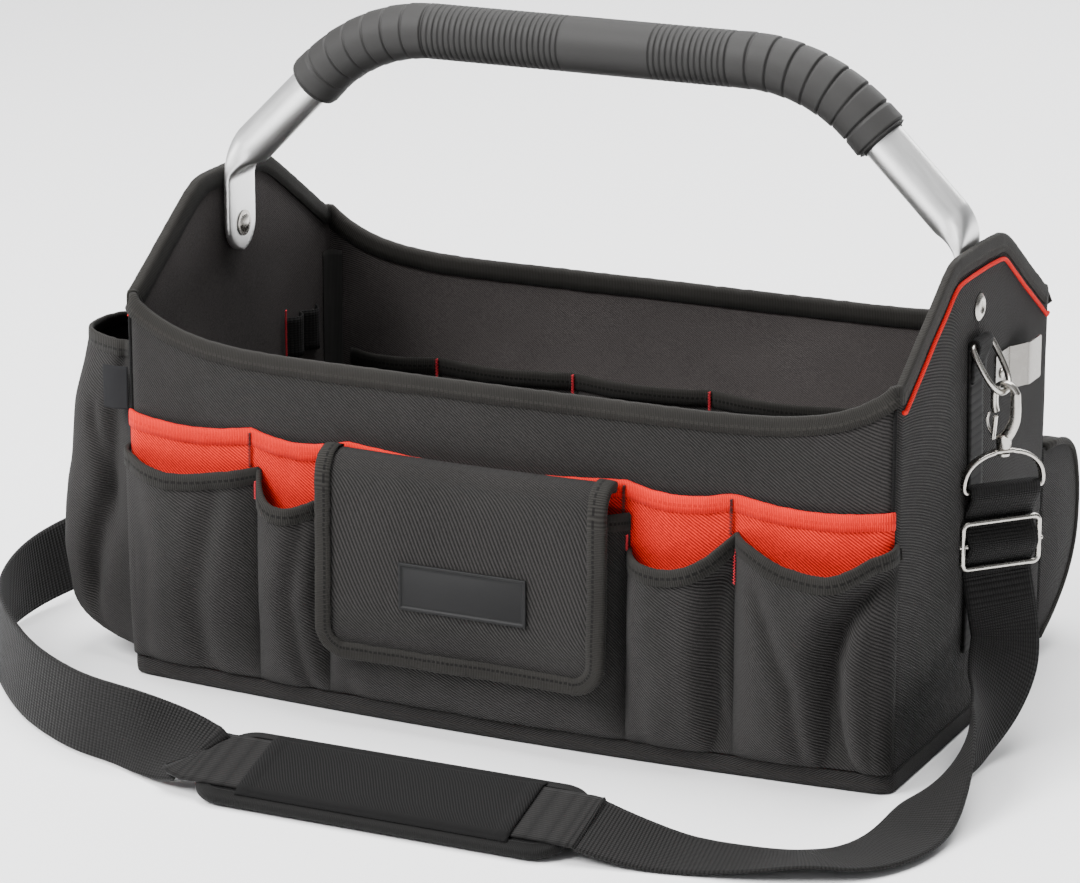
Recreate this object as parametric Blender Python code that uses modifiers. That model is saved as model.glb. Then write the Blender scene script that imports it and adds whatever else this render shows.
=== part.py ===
# An open tool bag in black cloth with a folding tube handle and a shoulder strap.
# Units are metres, +X runs along the bag, -Y is its front, +Z is up.
# The origin is the middle of the underside.

import math

import bmesh
import bpy
from mathutils import Matrix, Vector

# Bag body
LENGTH = 0.480            # outer face of one end to the other
DEPTH = 0.249             # outer face of the front to the back, at the corners
RIM_HEIGHT = 0.232        # top of the walls at the four corners
RIM_DIP = 0.026           # how far the long rims drop between the corners
GABLE_RISE = 0.052        # how far the ends stand above the corners
GABLE_FLAT = 0.080        # level stretch on top of each end
GABLE_SHOULDER = 0.007    # level stretch at each corner of an end
GABLE_STEPS = 12          # facets across each gable
WALL = 0.003              # padded cloth wall
PANEL_BOW = 0.010         # bulge of the long walls at the bottom
RIM_BOW_SHARE = 0.35      # share of that bulge left at rim height
GAP = 0.0003              # clearance between touching pieces

# Base
FLOOR = 0.004             # thickness of the bottom board and its cover
BAND_HEIGHT = 0.012       # band that wraps up round the bottom edge
BAND = 0.002              # thickness of the band
BASE_CORNER = 0.0020      # corner of the base in plan

# Edge bindings
TAPE = 0.0009             # thickness of binding tape
TAPE_GAP = 0.0004         # its clearance to the cloth that it wraps
RIM_TAPE = 0.0095         # height of the tape on the main rims
POCKET_TAPE = 0.0085      # height of the tape on pocket mouths
PIPING = 0.0011           # radius of the red piping
PIPING_INSET = 0.0135     # piping below the edge of each gable
CORNER_TAPE = 0.009       # leg of the taped seams inside the corners
CORNER_TAPE_TOP = 0.205   # height where those taped seams end

# Front pockets
LAYER = 0.0012            # thickness of pocket cloth
LAYER_FOOT = 0.0128       # pocket cloth starts at this height, above the band
RED_TOP = 0.1620          # mouth of the red layer
RED_DIP = 0.0040          # sag of that mouth between the tacks
RED_LIFT = 0.0030         # how far it stands off the front between the tacks
RED_FREE = 0.0300         # it lies flat on the front below this height
RED_TACKS = (-0.240, -0.155, -0.091, 0.0825, 0.1465, 0.240)
SEAM_INSET = 0.0019       # a pocket's inner face to the seam that it is sewn on

# Flap over the middle pocket
FLAP_CENTRE = -0.0100
FLAP_WIDTH = 0.178
FLAP_TOP = 0.1530         # seam of the flap on the red layer
FLAP_BOTTOM = 0.0430
FLAP_STAND = 0.0265       # inner face of the hanging flap to the corner plane of the front
FLAP_CORNER = 0.018       # radius of the lower corners
FLAP_CLOTH = 0.0022
LABEL_WIDTH = 0.080
LABEL_HEIGHT = 0.028
LABEL_THICK = 0.0016
LABEL_CENTRE = (-0.0075, 0.0900)
LABEL_CORNER = 0.002
SIDE_LABEL = (0.0165, 0.0008, 0.0260)
SIDE_LABEL_HEIGHT = 0.175

# Pocket on the left end
END_POCKET_FRONT = -0.1165
END_POCKET_REAR = -0.0360
END_POCKET_TOP = 0.2000
END_POCKET_DEPTH = 0.0610

# Pocket and flap on the back
BACK_POCKET_HALF = 0.2355
BACK_POCKET_FOOT = 0.016
BACK_POCKET_TOP = 0.1120
BACK_POCKET_DEPTH = 0.057
BACK_FLAP_TOP = 0.1380
BACK_FLAP_DROP = 0.0780   # its lower edge below its seam
BACK_FLAP_HALF = 0.2385
BACK_FLAP_CLOTH = 0.0018

# Inside pockets
INNER_TOP = 0.1410
INNER_LIFT = 0.0090
INNER_FREE = 0.0300       # the pockets' cloth lies on the back below this height
INNER_TACKS = (-0.2220, -0.1610, -0.0680, 0.0240, 0.1160, 0.2220)
TOOL_LOOP_Y = (0.064, 0.084, 0.104)
TOOL_LOOP_Z = (0.147, 0.173)
TOOL_LOOP_LIFT = 0.0065

# Handle
PIVOT_DROP = 0.0350       # rivet that the handle turns on, below the top of the ends
HANDLE_RISE = 0.1280      # rivet to the centre line of the grip
KNEE = 0.1420             # where the centre lines of grip and leg would cross
TUBE = 0.0125             # radius of the tube
TAB = 0.0050              # thickness of the flattened end
TAB_WIDTH = 0.0330
FLATTEN = ((0.0145, 0.0070), (0.0160, 0.0032), (0.0165, 0.0025))   # half widths down the bend
TAB_CLEAR = 0.0022        # flattened end to the wall beside it
TAB_RISE = 0.0390         # rivet to where leg and flattened end would cross
BEND = 0.105              # radius of the upper bends
FOOT_BEND = 0.030         # radius of the lower bends
GRIP = 0.0163             # outer radius of the grip
GRIP_END = 0.1790         # half the span of the grip
RIVET = 0.0030            # radius of the rivet shank
RIVET_HEAD = 0.0078
RIVET_CROWN = 0.0020
HOLE_CLEAR = 0.0004

# Strap hardware
HANG_Y = -0.0060          # the hardware hangs in this plane
END_WEB = 0.0220          # width of the webbing sewn on each end
WEB = 0.0015              # thickness of webbing
END_WEB_FOOT = 0.0500
RING_WIRE = 0.0018
RING_WIDTH = 0.0340
RING_LENGTH = 0.0340
RING_DROP = 0.0185        # rivet down to the centre of the ring's upper bar
RING_TILT = math.radians(30)
HOOK_WIRE = 0.0020
HOOK_BEND = 0.0062        # radius of the hook's centre line
HOOK_REACH = 0.0560       # ring's upper bar down to the collar of the hook
HOOK_TIP = 0.0105         # the bend's centre down to the hook's tip
COLLAR = 0.0042           # radius of the collar under the hook
COLLAR_TOP = 0.0035       # collar above HOOK_FOOT
POST_HEAD = 0.0034        # radius of the head below the eye
POST_HEAD_HEIGHT = 0.0020
GATE_THIN = 0.0022        # thickness of the gate lever
GATE_WIDE = 0.0036
GATE_SET = 0.0062         # gate axis beside the hook's axis
EYE_WIDTH = 0.0530        # swivel eye, outside
EYE_BAR = 0.0024
EYE_DEPTH = 0.0050
EYE_FLAT = 0.0055         # half of the level stretch round the post
EYE_DROP = 0.0040         # collar down to the crown of the eye
EYE_HEIGHT = 0.0245
SWIVEL = 0.0018           # radius of the swivel post
STRAP_TURN = math.radians(27)
SLIDER_HEIGHT = 0.0300
SLIDER_BAR = 0.0032
SLIDER_CORNER = 0.0050
SLIDER_DROP = 0.0310      # foot of the eye down to the middle of the slider

# Tape measure clip on the right end
CLIP_STEEL = 0.0012
CLIP_LOW = 0.1925
CLIP_HEIGHT = 0.0250
CLIP_FRONT = 0.0200       # front edge of the flange on the wall
CLIP_FLANGE = 0.0230
CLIP_STEP = 0.0130        # stretch that steps off the wall
CLIP_LIFT = 0.0075
CLIP_TONGUE = 0.0370
CLIP_RIVET = 0.0030       # radius of its rivet
CLIP_RIVET_HIGH = 0.0012

# Shoulder strap
STRAP_WIDTH = 0.0440
STRAP = 0.0016
PAD_LENGTH = 0.2260
PAD_WIDTH = 0.0620
PAD = 0.0060
PAD_CENTRE = 0.0060
PAD_FRONT = -0.2970
PAD_TILT = math.radians(17)
PAD_CORNER = 0.020
SLEEVE = 0.0012
SLEEVE_EDGE = 0.0035      # sewn margin of the sleeve on each long side
SLEEVE_INSET = 0.0080     # its ends to the ends of the pad
STRAP_PLAY = 0.0015       # room beside the strap in sliders and sleeve
FLOOR_CLEAR = 0.0006      # lowest edge of strap and pad above the ground

BLACK = (0.016, 0.016, 0.018)
RED = (0.76, 0.045, 0.018)
STEEL = (0.62, 0.60, 0.57)
SATIN = (0.70, 0.70, 0.69)
RUBBER = (0.035, 0.036, 0.040)

PIVOT_HEIGHT = RIM_HEIGHT + GABLE_RISE - PIVOT_DROP
HANDLE_HEIGHT = PIVOT_HEIGHT + HANDLE_RISE
TAB_TOP = PIVOT_HEIGHT + TAB_RISE
RING_TOP = PIVOT_HEIGHT - RING_DROP
HOOK_FOOT = RING_TOP - HOOK_REACH
EYE_TOP = HOOK_FOOT - EYE_DROP
EYE_FOOT = EYE_TOP - EYE_HEIGHT
SLIDER_CENTRE = EYE_FOOT - SLIDER_DROP
HALF = LENGTH / 2
SIDE = DEPTH / 2
PANEL_HALF = HALF - WALL - GAP

bag_parts = bpy.data.collections.new("tool_bag")
cutters = bpy.data.collections.new("cutters")


def clear_scene():
    """Remove what the file starts with and link the two collections."""
    for item in list(bpy.data.objects):
        bpy.data.objects.remove(item, do_unlink=True)
    bpy.context.scene.collection.children.link(bag_parts)
    bpy.context.scene.collection.children.link(cutters)


def material(name, colour, roughness, metallic=0.0):
    """A Principled material for one piece."""
    made = bpy.data.materials.new(name)
    made.use_nodes = True
    shader = made.node_tree.nodes["Principled BSDF"]
    shader.inputs["Base Color"].default_value = (*colour, 1.0)
    shader.inputs["Roughness"].default_value = roughness
    shader.inputs["Metallic"].default_value = metallic
    return made


def add_object(name, data, colour, roughness=0.85, metallic=0.0):
    """Link a piece with its own material."""
    made = bpy.data.objects.new(name, data)
    data.materials.append(material(name, colour, roughness, metallic))
    bag_parts.objects.link(made)
    return made


def finish_mesh(mesh, angle=40.0):
    """Shade smooth up to an angle."""
    mesh.shade_smooth()
    mesh.set_sharp_from_angle(angle=math.radians(angle))


def blend(low, high, share):
    """A value between two others."""
    return low + (high - low) * share


def table(rows, share):
    """Read a short table of (share, value) rows between its rows."""
    for (s0, v0), (s1, v1) in zip(rows, rows[1:]):
        if share <= s1:
            return blend(v0, v1, (share - s0) / (s1 - s0))
    return rows[-1][1]


def scallop(x, tacks):
    """0 on each tack and 1 halfway between two tacks."""
    for a, b in zip(tacks, tacks[1:]):
        if x <= b:
            return math.sin(math.pi * max(0.0, (x - a) / (b - a)))
    return 0.0


def crowd(share):
    """Spread 0..1 so that the steps close up towards both ends."""
    s = 2 * share - 1
    return (1.5 * s - 0.5 * s ** 3) / 2 + 0.5


def cloth(name, surface, columns, rows, thickness, side, colour):
    """A cloth sheet: a grid laid on surface(u, v), given its thickness.

    side is 1 where the surface is the inner face and -1 where it is the outer one.
    """
    form = bmesh.new()
    bmesh.ops.create_grid(form, x_segments=columns, y_segments=rows, size=0.5)
    for vertex in form.verts:
        vertex.co = surface(vertex.co.x + 0.5, vertex.co.y + 0.5)
    mesh = bpy.data.meshes.new(name)
    form.to_mesh(mesh)
    form.free()
    mesh.shade_smooth()
    made = add_object(name, mesh, colour)
    solid = made.modifiers.new("Thickness", "SOLIDIFY")
    solid.thickness = thickness
    solid.offset = side
    solid.use_even_offset = True
    return made


def loft(name, sections, colour, closed=False, roughness=0.85, metallic=0.0):
    """Join a row of equal rings of points into one closed body."""
    form = bmesh.new()
    rings = [[form.verts.new(point) for point in ring] for ring in sections]
    count = len(rings[0])
    pairs = list(zip(rings, rings[1:]))
    if closed:
        pairs.append((rings[-1], rings[0]))
    for a, b in pairs:
        for i in range(count):
            j = (i + 1) % count
            form.faces.new((a[i], a[j], b[j], b[i]))
    if not closed:
        form.faces.new(rings[0])
        form.faces.new(rings[-1])
    bmesh.ops.recalc_face_normals(form, faces=form.faces)
    mesh = bpy.data.meshes.new(name)
    form.to_mesh(mesh)
    form.free()
    finish_mesh(mesh)
    return add_object(name, mesh, colour, roughness, metallic)


def tape_section(low, high, height, inner_height):
    """Section of a binding as (inward, out) pairs. low and high are the cloth's faces.

    inner_height is the tape's height inside the cloth, or None where it stops on the edge.
    """
    top = -(TAPE_GAP + TAPE)
    outer = high + TAPE_GAP
    section = [(top, outer + TAPE), (height, outer + TAPE), (height, outer), (-TAPE_GAP, outer)]
    if inner_height is None:
        section += [(-TAPE_GAP, low), (top, low)]
    else:
        inner = low - TAPE_GAP
        section += [(-TAPE_GAP, inner), (inner_height, inner)]
        section += [(inner_height, inner - TAPE), (top, inner - TAPE)]
    return section


def binding(name, path, place, low, high, height, wraps, colour, keep_inside=None):
    """Tape along an edge. path holds ((a, b), (inward a, inward b)) for each station.

    Past keep_inside the tape has no leg on the inside, where another wall stands.
    """
    rings = []
    for (a, b), (ia, ib) in path:
        inner_height = height if wraps else None
        if keep_inside and abs(a) >= keep_inside:
            inner_height = -TAPE_GAP / 2
        section = tape_section(low, high, height, inner_height)
        rings.append([place(a + ia * e, b + ib * e, d) for e, d in section])
    return loft(name, rings, colour)


def rim_path(values, height):
    """Stations along an edge that is a height over a; the tape keeps its width on slopes."""
    path = []
    step = 0.0005
    for a in values:
        slope = (height(a + step) - height(a - step)) / (2 * step)
        path.append(((a, height(a)), (0.0, -math.sqrt(1 + slope * slope))))
    return path


def normal_place(surface, u_span, z_span):
    """Turn surface(a, z) into place(a, z, d), with d along the outward normal."""
    def place(a, z, d):
        at = surface(a, z)
        along = surface(a + u_span, z) - surface(a - u_span, z)
        up = surface(a, z + z_span) - surface(a, z - z_span)
        return at + along.cross(up).normalized() * d
    return place


def outline(name, splines, half_depth, colour, roughness=0.35, metallic=1.0):
    """A flat plate from closed outlines in its own XY plane."""
    curve = bpy.data.curves.new(name, "CURVE")
    curve.dimensions = "2D"
    curve.fill_mode = "BOTH"
    curve.extrude = half_depth
    for points in splines:
        spline = curve.splines.new("POLY")
        spline.points.add(len(points) - 1)
        for slot, (x, y) in zip(spline.points, points):
            slot.co = (x, y, 0.0, 1.0)
        spline.use_cyclic_u = True
    return add_object(name, curve, colour, roughness, metallic)


def wire(name, points, radius, colour, cyclic=False, roughness=0.3, metallic=1.0, sides=2):
    """A round wire through a row of points."""
    curve = bpy.data.curves.new(name, "CURVE")
    curve.dimensions = "3D"
    curve.bevel_depth = radius
    curve.bevel_resolution = sides
    curve.use_fill_caps = True
    spline = curve.splines.new("POLY")
    spline.points.add(len(points) - 1)
    for slot, point in zip(spline.points, points):
        slot.co = (*point, 1.0)
    spline.use_cyclic_u = cyclic
    return add_object(name, curve, colour, roughness, metallic)


def as_mesh(source):
    """Replace a curve object by the same shape as a welded mesh."""
    bpy.context.view_layer.update()
    depsgraph = bpy.context.evaluated_depsgraph_get()
    mesh = bpy.data.meshes.new_from_object(source.evaluated_get(depsgraph))
    form = bmesh.new()
    form.from_mesh(mesh)
    bmesh.ops.remove_doubles(form, verts=form.verts, dist=0.00001)
    bmesh.ops.recalc_face_normals(form, faces=form.faces)
    form.to_mesh(mesh)
    form.free()
    name = source.name
    matrix = source.matrix_world.copy()
    bpy.data.objects.remove(source, do_unlink=True)
    made = bpy.data.objects.new(name, mesh)
    made.name = name
    made.matrix_world = matrix
    bag_parts.objects.link(made)
    return made


def pin_cutter(name, radius, length, centre, axis):
    """A hidden cylinder that cuts a round hole."""
    form = bmesh.new()
    bmesh.ops.create_cone(form, cap_ends=True, segments=12, radius1=radius, radius2=radius, depth=length)
    turn = Vector((0, 0, 1)).rotation_difference(Vector(axis)).to_matrix().to_4x4()
    bmesh.ops.transform(form, matrix=Matrix.Translation(centre) @ turn, verts=form.verts)
    mesh = bpy.data.meshes.new(name)
    form.to_mesh(mesh)
    form.free()
    made = bpy.data.objects.new(name, mesh)
    made.hide_render = True
    made.display_type = "WIRE"
    cutters.objects.link(made)
    return made


def cut(piece, cutter):
    """Cut a hole in a piece."""
    hole = piece.modifiers.new("Hole", "BOOLEAN")
    hole.operation = "DIFFERENCE"
    hole.solver = "EXACT"
    hole.object = cutter


def join(piece, other):
    """Fuse a second body into a piece."""
    union = piece.modifiers.new("Join", "BOOLEAN")
    union.operation = "UNION"
    union.solver = "EXACT"
    union.object = other
    bag_parts.objects.unlink(other)
    cutters.objects.link(other)
    other.hide_render = True
    other.display_type = "WIRE"


def arc(centre, radius, start, end, steps):
    """Points on an arc in a plane, angles in degrees."""
    points = []
    for i in range(steps + 1):
        angle = math.radians(blend(start, end, i / steps))
        points.append((centre[0] + radius * math.cos(angle), centre[1] + radius * math.sin(angle)))
    return points


def rounded(width, height, radius, steps=3):
    """A rounded rectangle about the origin."""
    x = width / 2 - radius
    y = height / 2 - radius
    points = arc((x, y), radius, 0, 90, steps)
    points += arc((-x, y), radius, 90, 180, steps)
    points += arc((-x, -y), radius, 180, 270, steps)
    points += arc((x, -y), radius, 270, 360, steps)
    return points


def rim_height(x):
    """Height of the long rims."""
    share = min(1.0, abs(x) / PANEL_HALF)
    return RIM_HEIGHT - RIM_DIP * (1 - share ** 8)


def bow(x, z):
    """Bulge of the long walls."""
    along = max(0.0, 1 - (x / PANEL_HALF) ** 2)
    return PANEL_BOW * along * blend(1.0, RIM_BOW_SHARE, z / RIM_HEIGHT)


def gable_height(y):
    """Height of the ends."""
    reach = SIDE - GABLE_SHOULDER - GABLE_FLAT / 2
    t = max(0.0, (SIDE - GABLE_SHOULDER - abs(y)) / reach)
    soft = 0.10
    level = (t + 1 - math.sqrt((t - 1) ** 2 + soft ** 2)) / 2
    base = (1 - math.sqrt(1 + soft ** 2)) / 2
    return RIM_HEIGHT + GABLE_RISE * (level - base) * (1 if t > 0 else 0)


def gable_stations():
    """Places across an end, from shoulder to shoulder."""
    reach = SIDE - GABLE_SHOULDER
    return [blend(-reach, reach, i / GABLE_STEPS) for i in range(GABLE_STEPS + 1)]


def long_place(side):
    """Outer face of the front (side -1) or the back (side 1)."""
    def place(x, z, d):
        return Vector((x, side * (SIDE + bow(x, z) + d), z))
    return place


def end_place(side):
    """Outer face of the left (side -1) or the right end (side 1)."""
    def place(y, z, d):
        return Vector((side * (HALF + d), y, z))
    return place


def build_base():
    """Bottom board with its band, one open tray."""
    def ring(out, z, corner):
        points = []
        steps = 10
        for side in (-1, 1):
            for i in range(steps + 1):
                x = blend(-HALF, HALF, i / steps) * -side
                edge = x + math.copysign(out, x)
                if i in (0, steps):
                    x = edge - math.copysign(corner, edge)
                points.append((x, side * (SIDE + bow(x, 0) + out), z))
            for share in (-1, 0, 1):
                points.append((edge, share * side * -(SIDE + out - corner), z))
        return points
    outer = BAND + GAP
    rings = [
        ring(outer - 0.0015, 0.0, BASE_CORNER),
        ring(outer, 0.0015, BASE_CORNER),
        ring(outer, BAND_HEIGHT, BASE_CORNER),
        ring(GAP, BAND_HEIGHT, GAP),
        ring(GAP, FLOOR, GAP),
    ]
    loft("base", rings, BLACK)


def build_walls():
    """Front, back and the two gabled ends."""
    foot = FLOOR + GAP
    for name, side in (("front_panel", -1), ("back_panel", 1)):
        place = long_place(side)

        def surface(u, v, side=side, place=place):
            x = blend(-PANEL_HALF, PANEL_HALF, crowd(u)) * -side
            return place(x, blend(foot, rim_height(x), v), 0.0)
        cloth(name, surface, 16, 4, WALL, -1, BLACK)
    across = [-SIDE] + gable_stations() + [SIDE]
    last = len(across) - 1
    for name, side in (("left_end", -1), ("right_end", 1)):
        place = end_place(side)

        def surface(u, v, side=side, place=place):
            y = across[round(u * last)] * side
            return place(y, blend(foot, gable_height(y), v), 0.0)
        wall = cloth(name, surface, last, 3, WALL, -1, BLACK)
        hole = pin_cutter(name + "_hole", RIVET + HOLE_CLEAR, WALL * 4,
                          (side * HALF, 0.0, PIVOT_HEIGHT), (1, 0, 0))
        cut(wall, hole)


def build_rim_tapes():
    """Tape folded over the four top edges, and the red piping outside the gables."""
    stations = [blend(-PANEL_HALF, PANEL_HALF, crowd(i / 16)) for i in range(17)]
    stations = [-HALF, -PANEL_HALF] + [stations[0] + GAP] + stations[1:-1] + [stations[-1] - GAP]
    stations += [PANEL_HALF, HALF]
    for name, side in (("front_rim_tape", -1), ("back_rim_tape", 1)):
        binding(name, rim_path(stations, rim_height), long_place(side), -WALL, 0.0,
                RIM_TAPE, True, BLACK, PANEL_HALF)
    stations = gable_stations()
    for name, side in (("left", -1), ("right", 1)):
        binding(name + "_gable_tape", rim_path(stations, gable_height), end_place(side), -WALL, 0.0,
                RIM_TAPE, True, BLACK)
        place = end_place(side)
        points = []
        for (y, top), inward in rim_path(stations, gable_height):
            points.append(place(y, top + inward[1] * PIPING_INSET, GAP + PIPING))
        wire(name + "_piping", points, PIPING, RED, roughness=0.7, metallic=0.0, sides=1)


def build_corner_tapes():
    """Taped seams inside the four corners."""
    t = TAPE
    shape = [(0, 0), (CORNER_TAPE, 0), (CORNER_TAPE, t), (t, t), (t, CORNER_TAPE), (0, CORNER_TAPE)]
    low = FLOOR + GAP
    for x_name, sx in (("left", -1), ("right", 1)):
        for y_name, sy in (("front", -1), ("back", 1)):
            x0 = HALF - WALL - GAP
            y0 = SIDE - WALL - GAP
            rings = []
            for z in (low, CORNER_TAPE_TOP):
                rings.append([(sx * (x0 - a), sy * (y0 - b), z) for a, b in shape])
            loft("corner_tape_" + x_name + "_" + y_name, rings, BLACK)


def red_lift(x, z):
    """How far the red layer stands off the front."""
    up = max(0.0, (z - RED_FREE) / (RED_TOP - RED_FREE))
    return RED_LIFT * scallop(x, RED_TACKS) * up


def red_top(x):
    """Mouth of the red layer."""
    return RED_TOP - RED_DIP * scallop(x, RED_TACKS)


def red_place(x, z, d):
    """A place d outside the inner face of the red layer."""
    return long_place(-1)(x, z, GAP + red_lift(x, z) + d)


def tack_stations(tacks, steps):
    """Stations between the tacks, with one on each tack."""
    stations = []
    for a, b in zip(tacks, tacks[1:]):
        stations += [blend(a, b, i / steps) for i in range(steps)]
    return stations + [tacks[-1]]


def build_red_layer():
    """Red pocket cloth across the whole front, with its taped mouth."""
    steps = 4
    stations = tack_stations(RED_TACKS, steps)
    last = len(stations) - 1

    def surface(u, v):
        x = stations[round(u * last)]
        return red_place(x, blend(LAYER_FOOT, red_top(x), v), 0.0)
    cloth("red_layer", surface, last, 3, LAYER, 1, RED)
    binding("red_layer_tape", rim_path(stations, red_top), red_place, 0.0, LAYER,
            POCKET_TAPE, False, RED)


# A pocket's bulge, as shares of its height and of its depth
POUCH_ROWS = ((0.0, 0.10), (0.08, 0.50), (0.3, 0.85), (0.6, 1.0), (1.0, 0.92))

# name, left seam, right seam, mouth height left, right, sag, depth, squareness
FRONT_POCKETS = (
    ("pocket_left_wide", -0.2400, -0.1490, 0.1400, 0.1400, 0.0060, 0.0125, 4),
    ("pocket_left_narrow", -0.1490, -0.1020, 0.1290, 0.1310, 0.0050, 0.0160, 4),
    ("pocket_middle", -0.1020, 0.0860, 0.1440, 0.1440, 0.0000, 0.0130, 12),
    ("pocket_right_narrow", 0.0860, 0.1500, 0.1260, 0.1400, 0.0060, 0.0160, 4),
    ("pocket_right_wide", 0.1500, 0.2400, 0.1420, 0.1440, 0.0100, 0.0150, 4),
)


def pouch(base, low, high, foot, top, depth, square, rows):
    """surface(s, z) of a pouch. s runs from 0 at one seam to 1 at the other."""
    def surface(s, z):
        t = 2 * s - 1
        share = table(rows, (z - foot) / (top(s) - foot))
        out = depth * share * max(0.0, 1 - abs(t) ** square)
        return base(blend(low, high, s), z, out)
    return surface


def build_pouch(name, surface, foot, top, columns, rows_at, taped, tape_name):
    """The cloth of a pouch and the tape on its mouth."""
    def laid(u, v):
        s = crowd(u)
        return surface(s, blend(foot, top(s), rows_at[round(v * (len(rows_at) - 1))]))
    cloth(name, laid, columns, len(rows_at) - 1, LAYER, 1, BLACK)
    if not taped:
        return
    stations = [crowd(i / columns) for i in range(columns + 1)]
    path = []
    for s in stations:
        ahead = surface(s + 0.001, top(s + 0.001)) - surface(s - 0.001, top(s - 0.001))
        level = math.hypot(ahead.x, ahead.y)
        path.append(((s, top(s)), (0.0, -math.hypot(level, ahead.z) / max(level, 1e-6))))
    binding(tape_name, path, normal_place(surface, 0.002, 0.0005), 0.0, LAYER,
            POCKET_TAPE, False, BLACK)


def build_front_pockets():
    """The five black pockets."""
    rows_at = [row[0] for row in POUCH_ROWS]
    for name, left, right, high_left, high_right, sag, depth, square in FRONT_POCKETS:
        def base(x, z, out):
            return red_place(x, z, LAYER + GAP + out)

        def top(s, a=high_left, b=high_right, sag=sag):
            return blend(a, b, s) - sag * math.sin(math.pi * min(1.0, max(0.0, s)))
        surface = pouch(base, left + SEAM_INSET, right - SEAM_INSET, LAYER_FOOT, top,
                        depth, square, POUCH_ROWS)
        build_pouch(name, surface, LAYER_FOOT, top, 10, rows_at, name != "pocket_middle",
                    name + "_tape")


# The hanging flap, as shares of its stand-off and heights below its seam
FLAP_ROWS = (
    (0.06, -0.0024), (0.28, -0.0034), (0.62, -0.0026), (0.88, 0.0020), (1.00, 0.0120),
    (1.00, 0.0450), (1.00, 0.0800), (1.00, 0.0960), (1.00, 0.1060), (1.00, 0.1110), (1.00, 0.1130),
)


def flap_profile(w):
    """Share of the stand-off and the height at a row w of the flap."""
    i = min(len(FLAP_ROWS) - 2, max(0, int(w)))
    out0, drop0 = FLAP_ROWS[i]
    out1, drop1 = FLAP_ROWS[i + 1]
    share = w - i
    scale = (FLAP_TOP - FLAP_BOTTOM) / FLAP_ROWS[-1][1]
    return blend(out0, out1, share), FLAP_TOP - scale * blend(drop0, drop1, share)


def flap_half(z):
    """Half width of the flap, less at its rounded lower corners."""
    over = FLAP_BOTTOM + FLAP_CORNER - z
    if over <= 0:
        return FLAP_WIDTH / 2
    return FLAP_WIDTH / 2 - FLAP_CORNER + math.sqrt(max(0.0, FLAP_CORNER ** 2 - over ** 2))


def flap_surface(x, w):
    """Inner face of the flap at row w."""
    out, z = flap_profile(w)
    start = bow(x, z) + GAP + red_lift(x, z) + LAYER + TAPE_GAP + TAPE + GAP
    return Vector((x, -(SIDE + blend(start, FLAP_STAND, out)), z))


def build_flap():
    """Flap over the middle pocket, its tape and the rubber label."""
    last = len(FLAP_ROWS) - 1

    def surface(u, v):
        w = last * (1 - v)
        half = flap_half(flap_profile(w)[1])
        return flap_surface(FLAP_CENTRE + half * (2 * u - 1), w)
    cloth("flap", surface, 10, last, FLAP_CLOTH, 1, BLACK)

    face = SIDE + FLAP_STAND
    half = FLAP_WIDTH / 2
    turn = FLAP_CORNER
    low = FLAP_BOTTOM + turn
    path = []
    for z in (FLAP_TOP - 0.016, (FLAP_TOP + low) / 2):
        path.append(((FLAP_CENTRE - half, z), (1.0, 0.0)))
    for side, start in ((-1, 180), (1, 270)):
        centre = (FLAP_CENTRE + side * (half - turn), low)
        for point in arc(centre, turn, start, start + 90, 5):
            inward = Vector((centre[0] - point[0], centre[1] - point[1])).normalized()
            path.append((point, (inward.x, inward.y)))
    for z in ((FLAP_TOP + low) / 2, FLAP_TOP - 0.016):
        path.append(((FLAP_CENTRE + half, z), (-1.0, 0.0)))

    def place(x, z, d):
        return Vector((x, -(face + d), z))
    binding("flap_tape", path, place, 0.0, FLAP_CLOTH, POCKET_TAPE, False, BLACK)

    label = outline("rubber_label", [rounded(LABEL_WIDTH, LABEL_HEIGHT, LABEL_CORNER, 2)],
                    LABEL_THICK / 2, RUBBER, 0.6, 0.0)
    label.rotation_euler = (math.pi / 2, 0, 0)
    label.location = (LABEL_CENTRE[0], -(face + FLAP_CLOTH + GAP + LABEL_THICK / 2), LABEL_CENTRE[1])


def build_side_label():
    """Woven label sewn in the left front corner seam."""
    width, thick, height = SIDE_LABEL
    form = bmesh.new()
    bmesh.ops.create_cube(form, size=1.0)
    bmesh.ops.scale(form, vec=(width, thick, height), verts=form.verts)
    mesh = bpy.data.meshes.new("side_label")
    form.to_mesh(mesh)
    form.free()
    made = add_object("side_label", mesh, BLACK)
    made.location = (-(HALF + GAP + width / 2), -(SIDE - WALL / 2), SIDE_LABEL_HEIGHT)


# The end pocket's outline from the front, as shares of its height and depth
END_POCKET_ROWS = (
    (0.0, 0.08), (0.02, 0.50), (0.08, 0.85), (0.18, 0.95), (0.42, 1.0),
    (0.70, 0.86), (0.85, 0.78), (1.0, 0.75),
)
BACK_POCKET_ROWS = ((0.0, 0.05), (0.12, 0.55), (0.30, 0.82), (0.60, 1.0), (1.0, 0.90))


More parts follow.
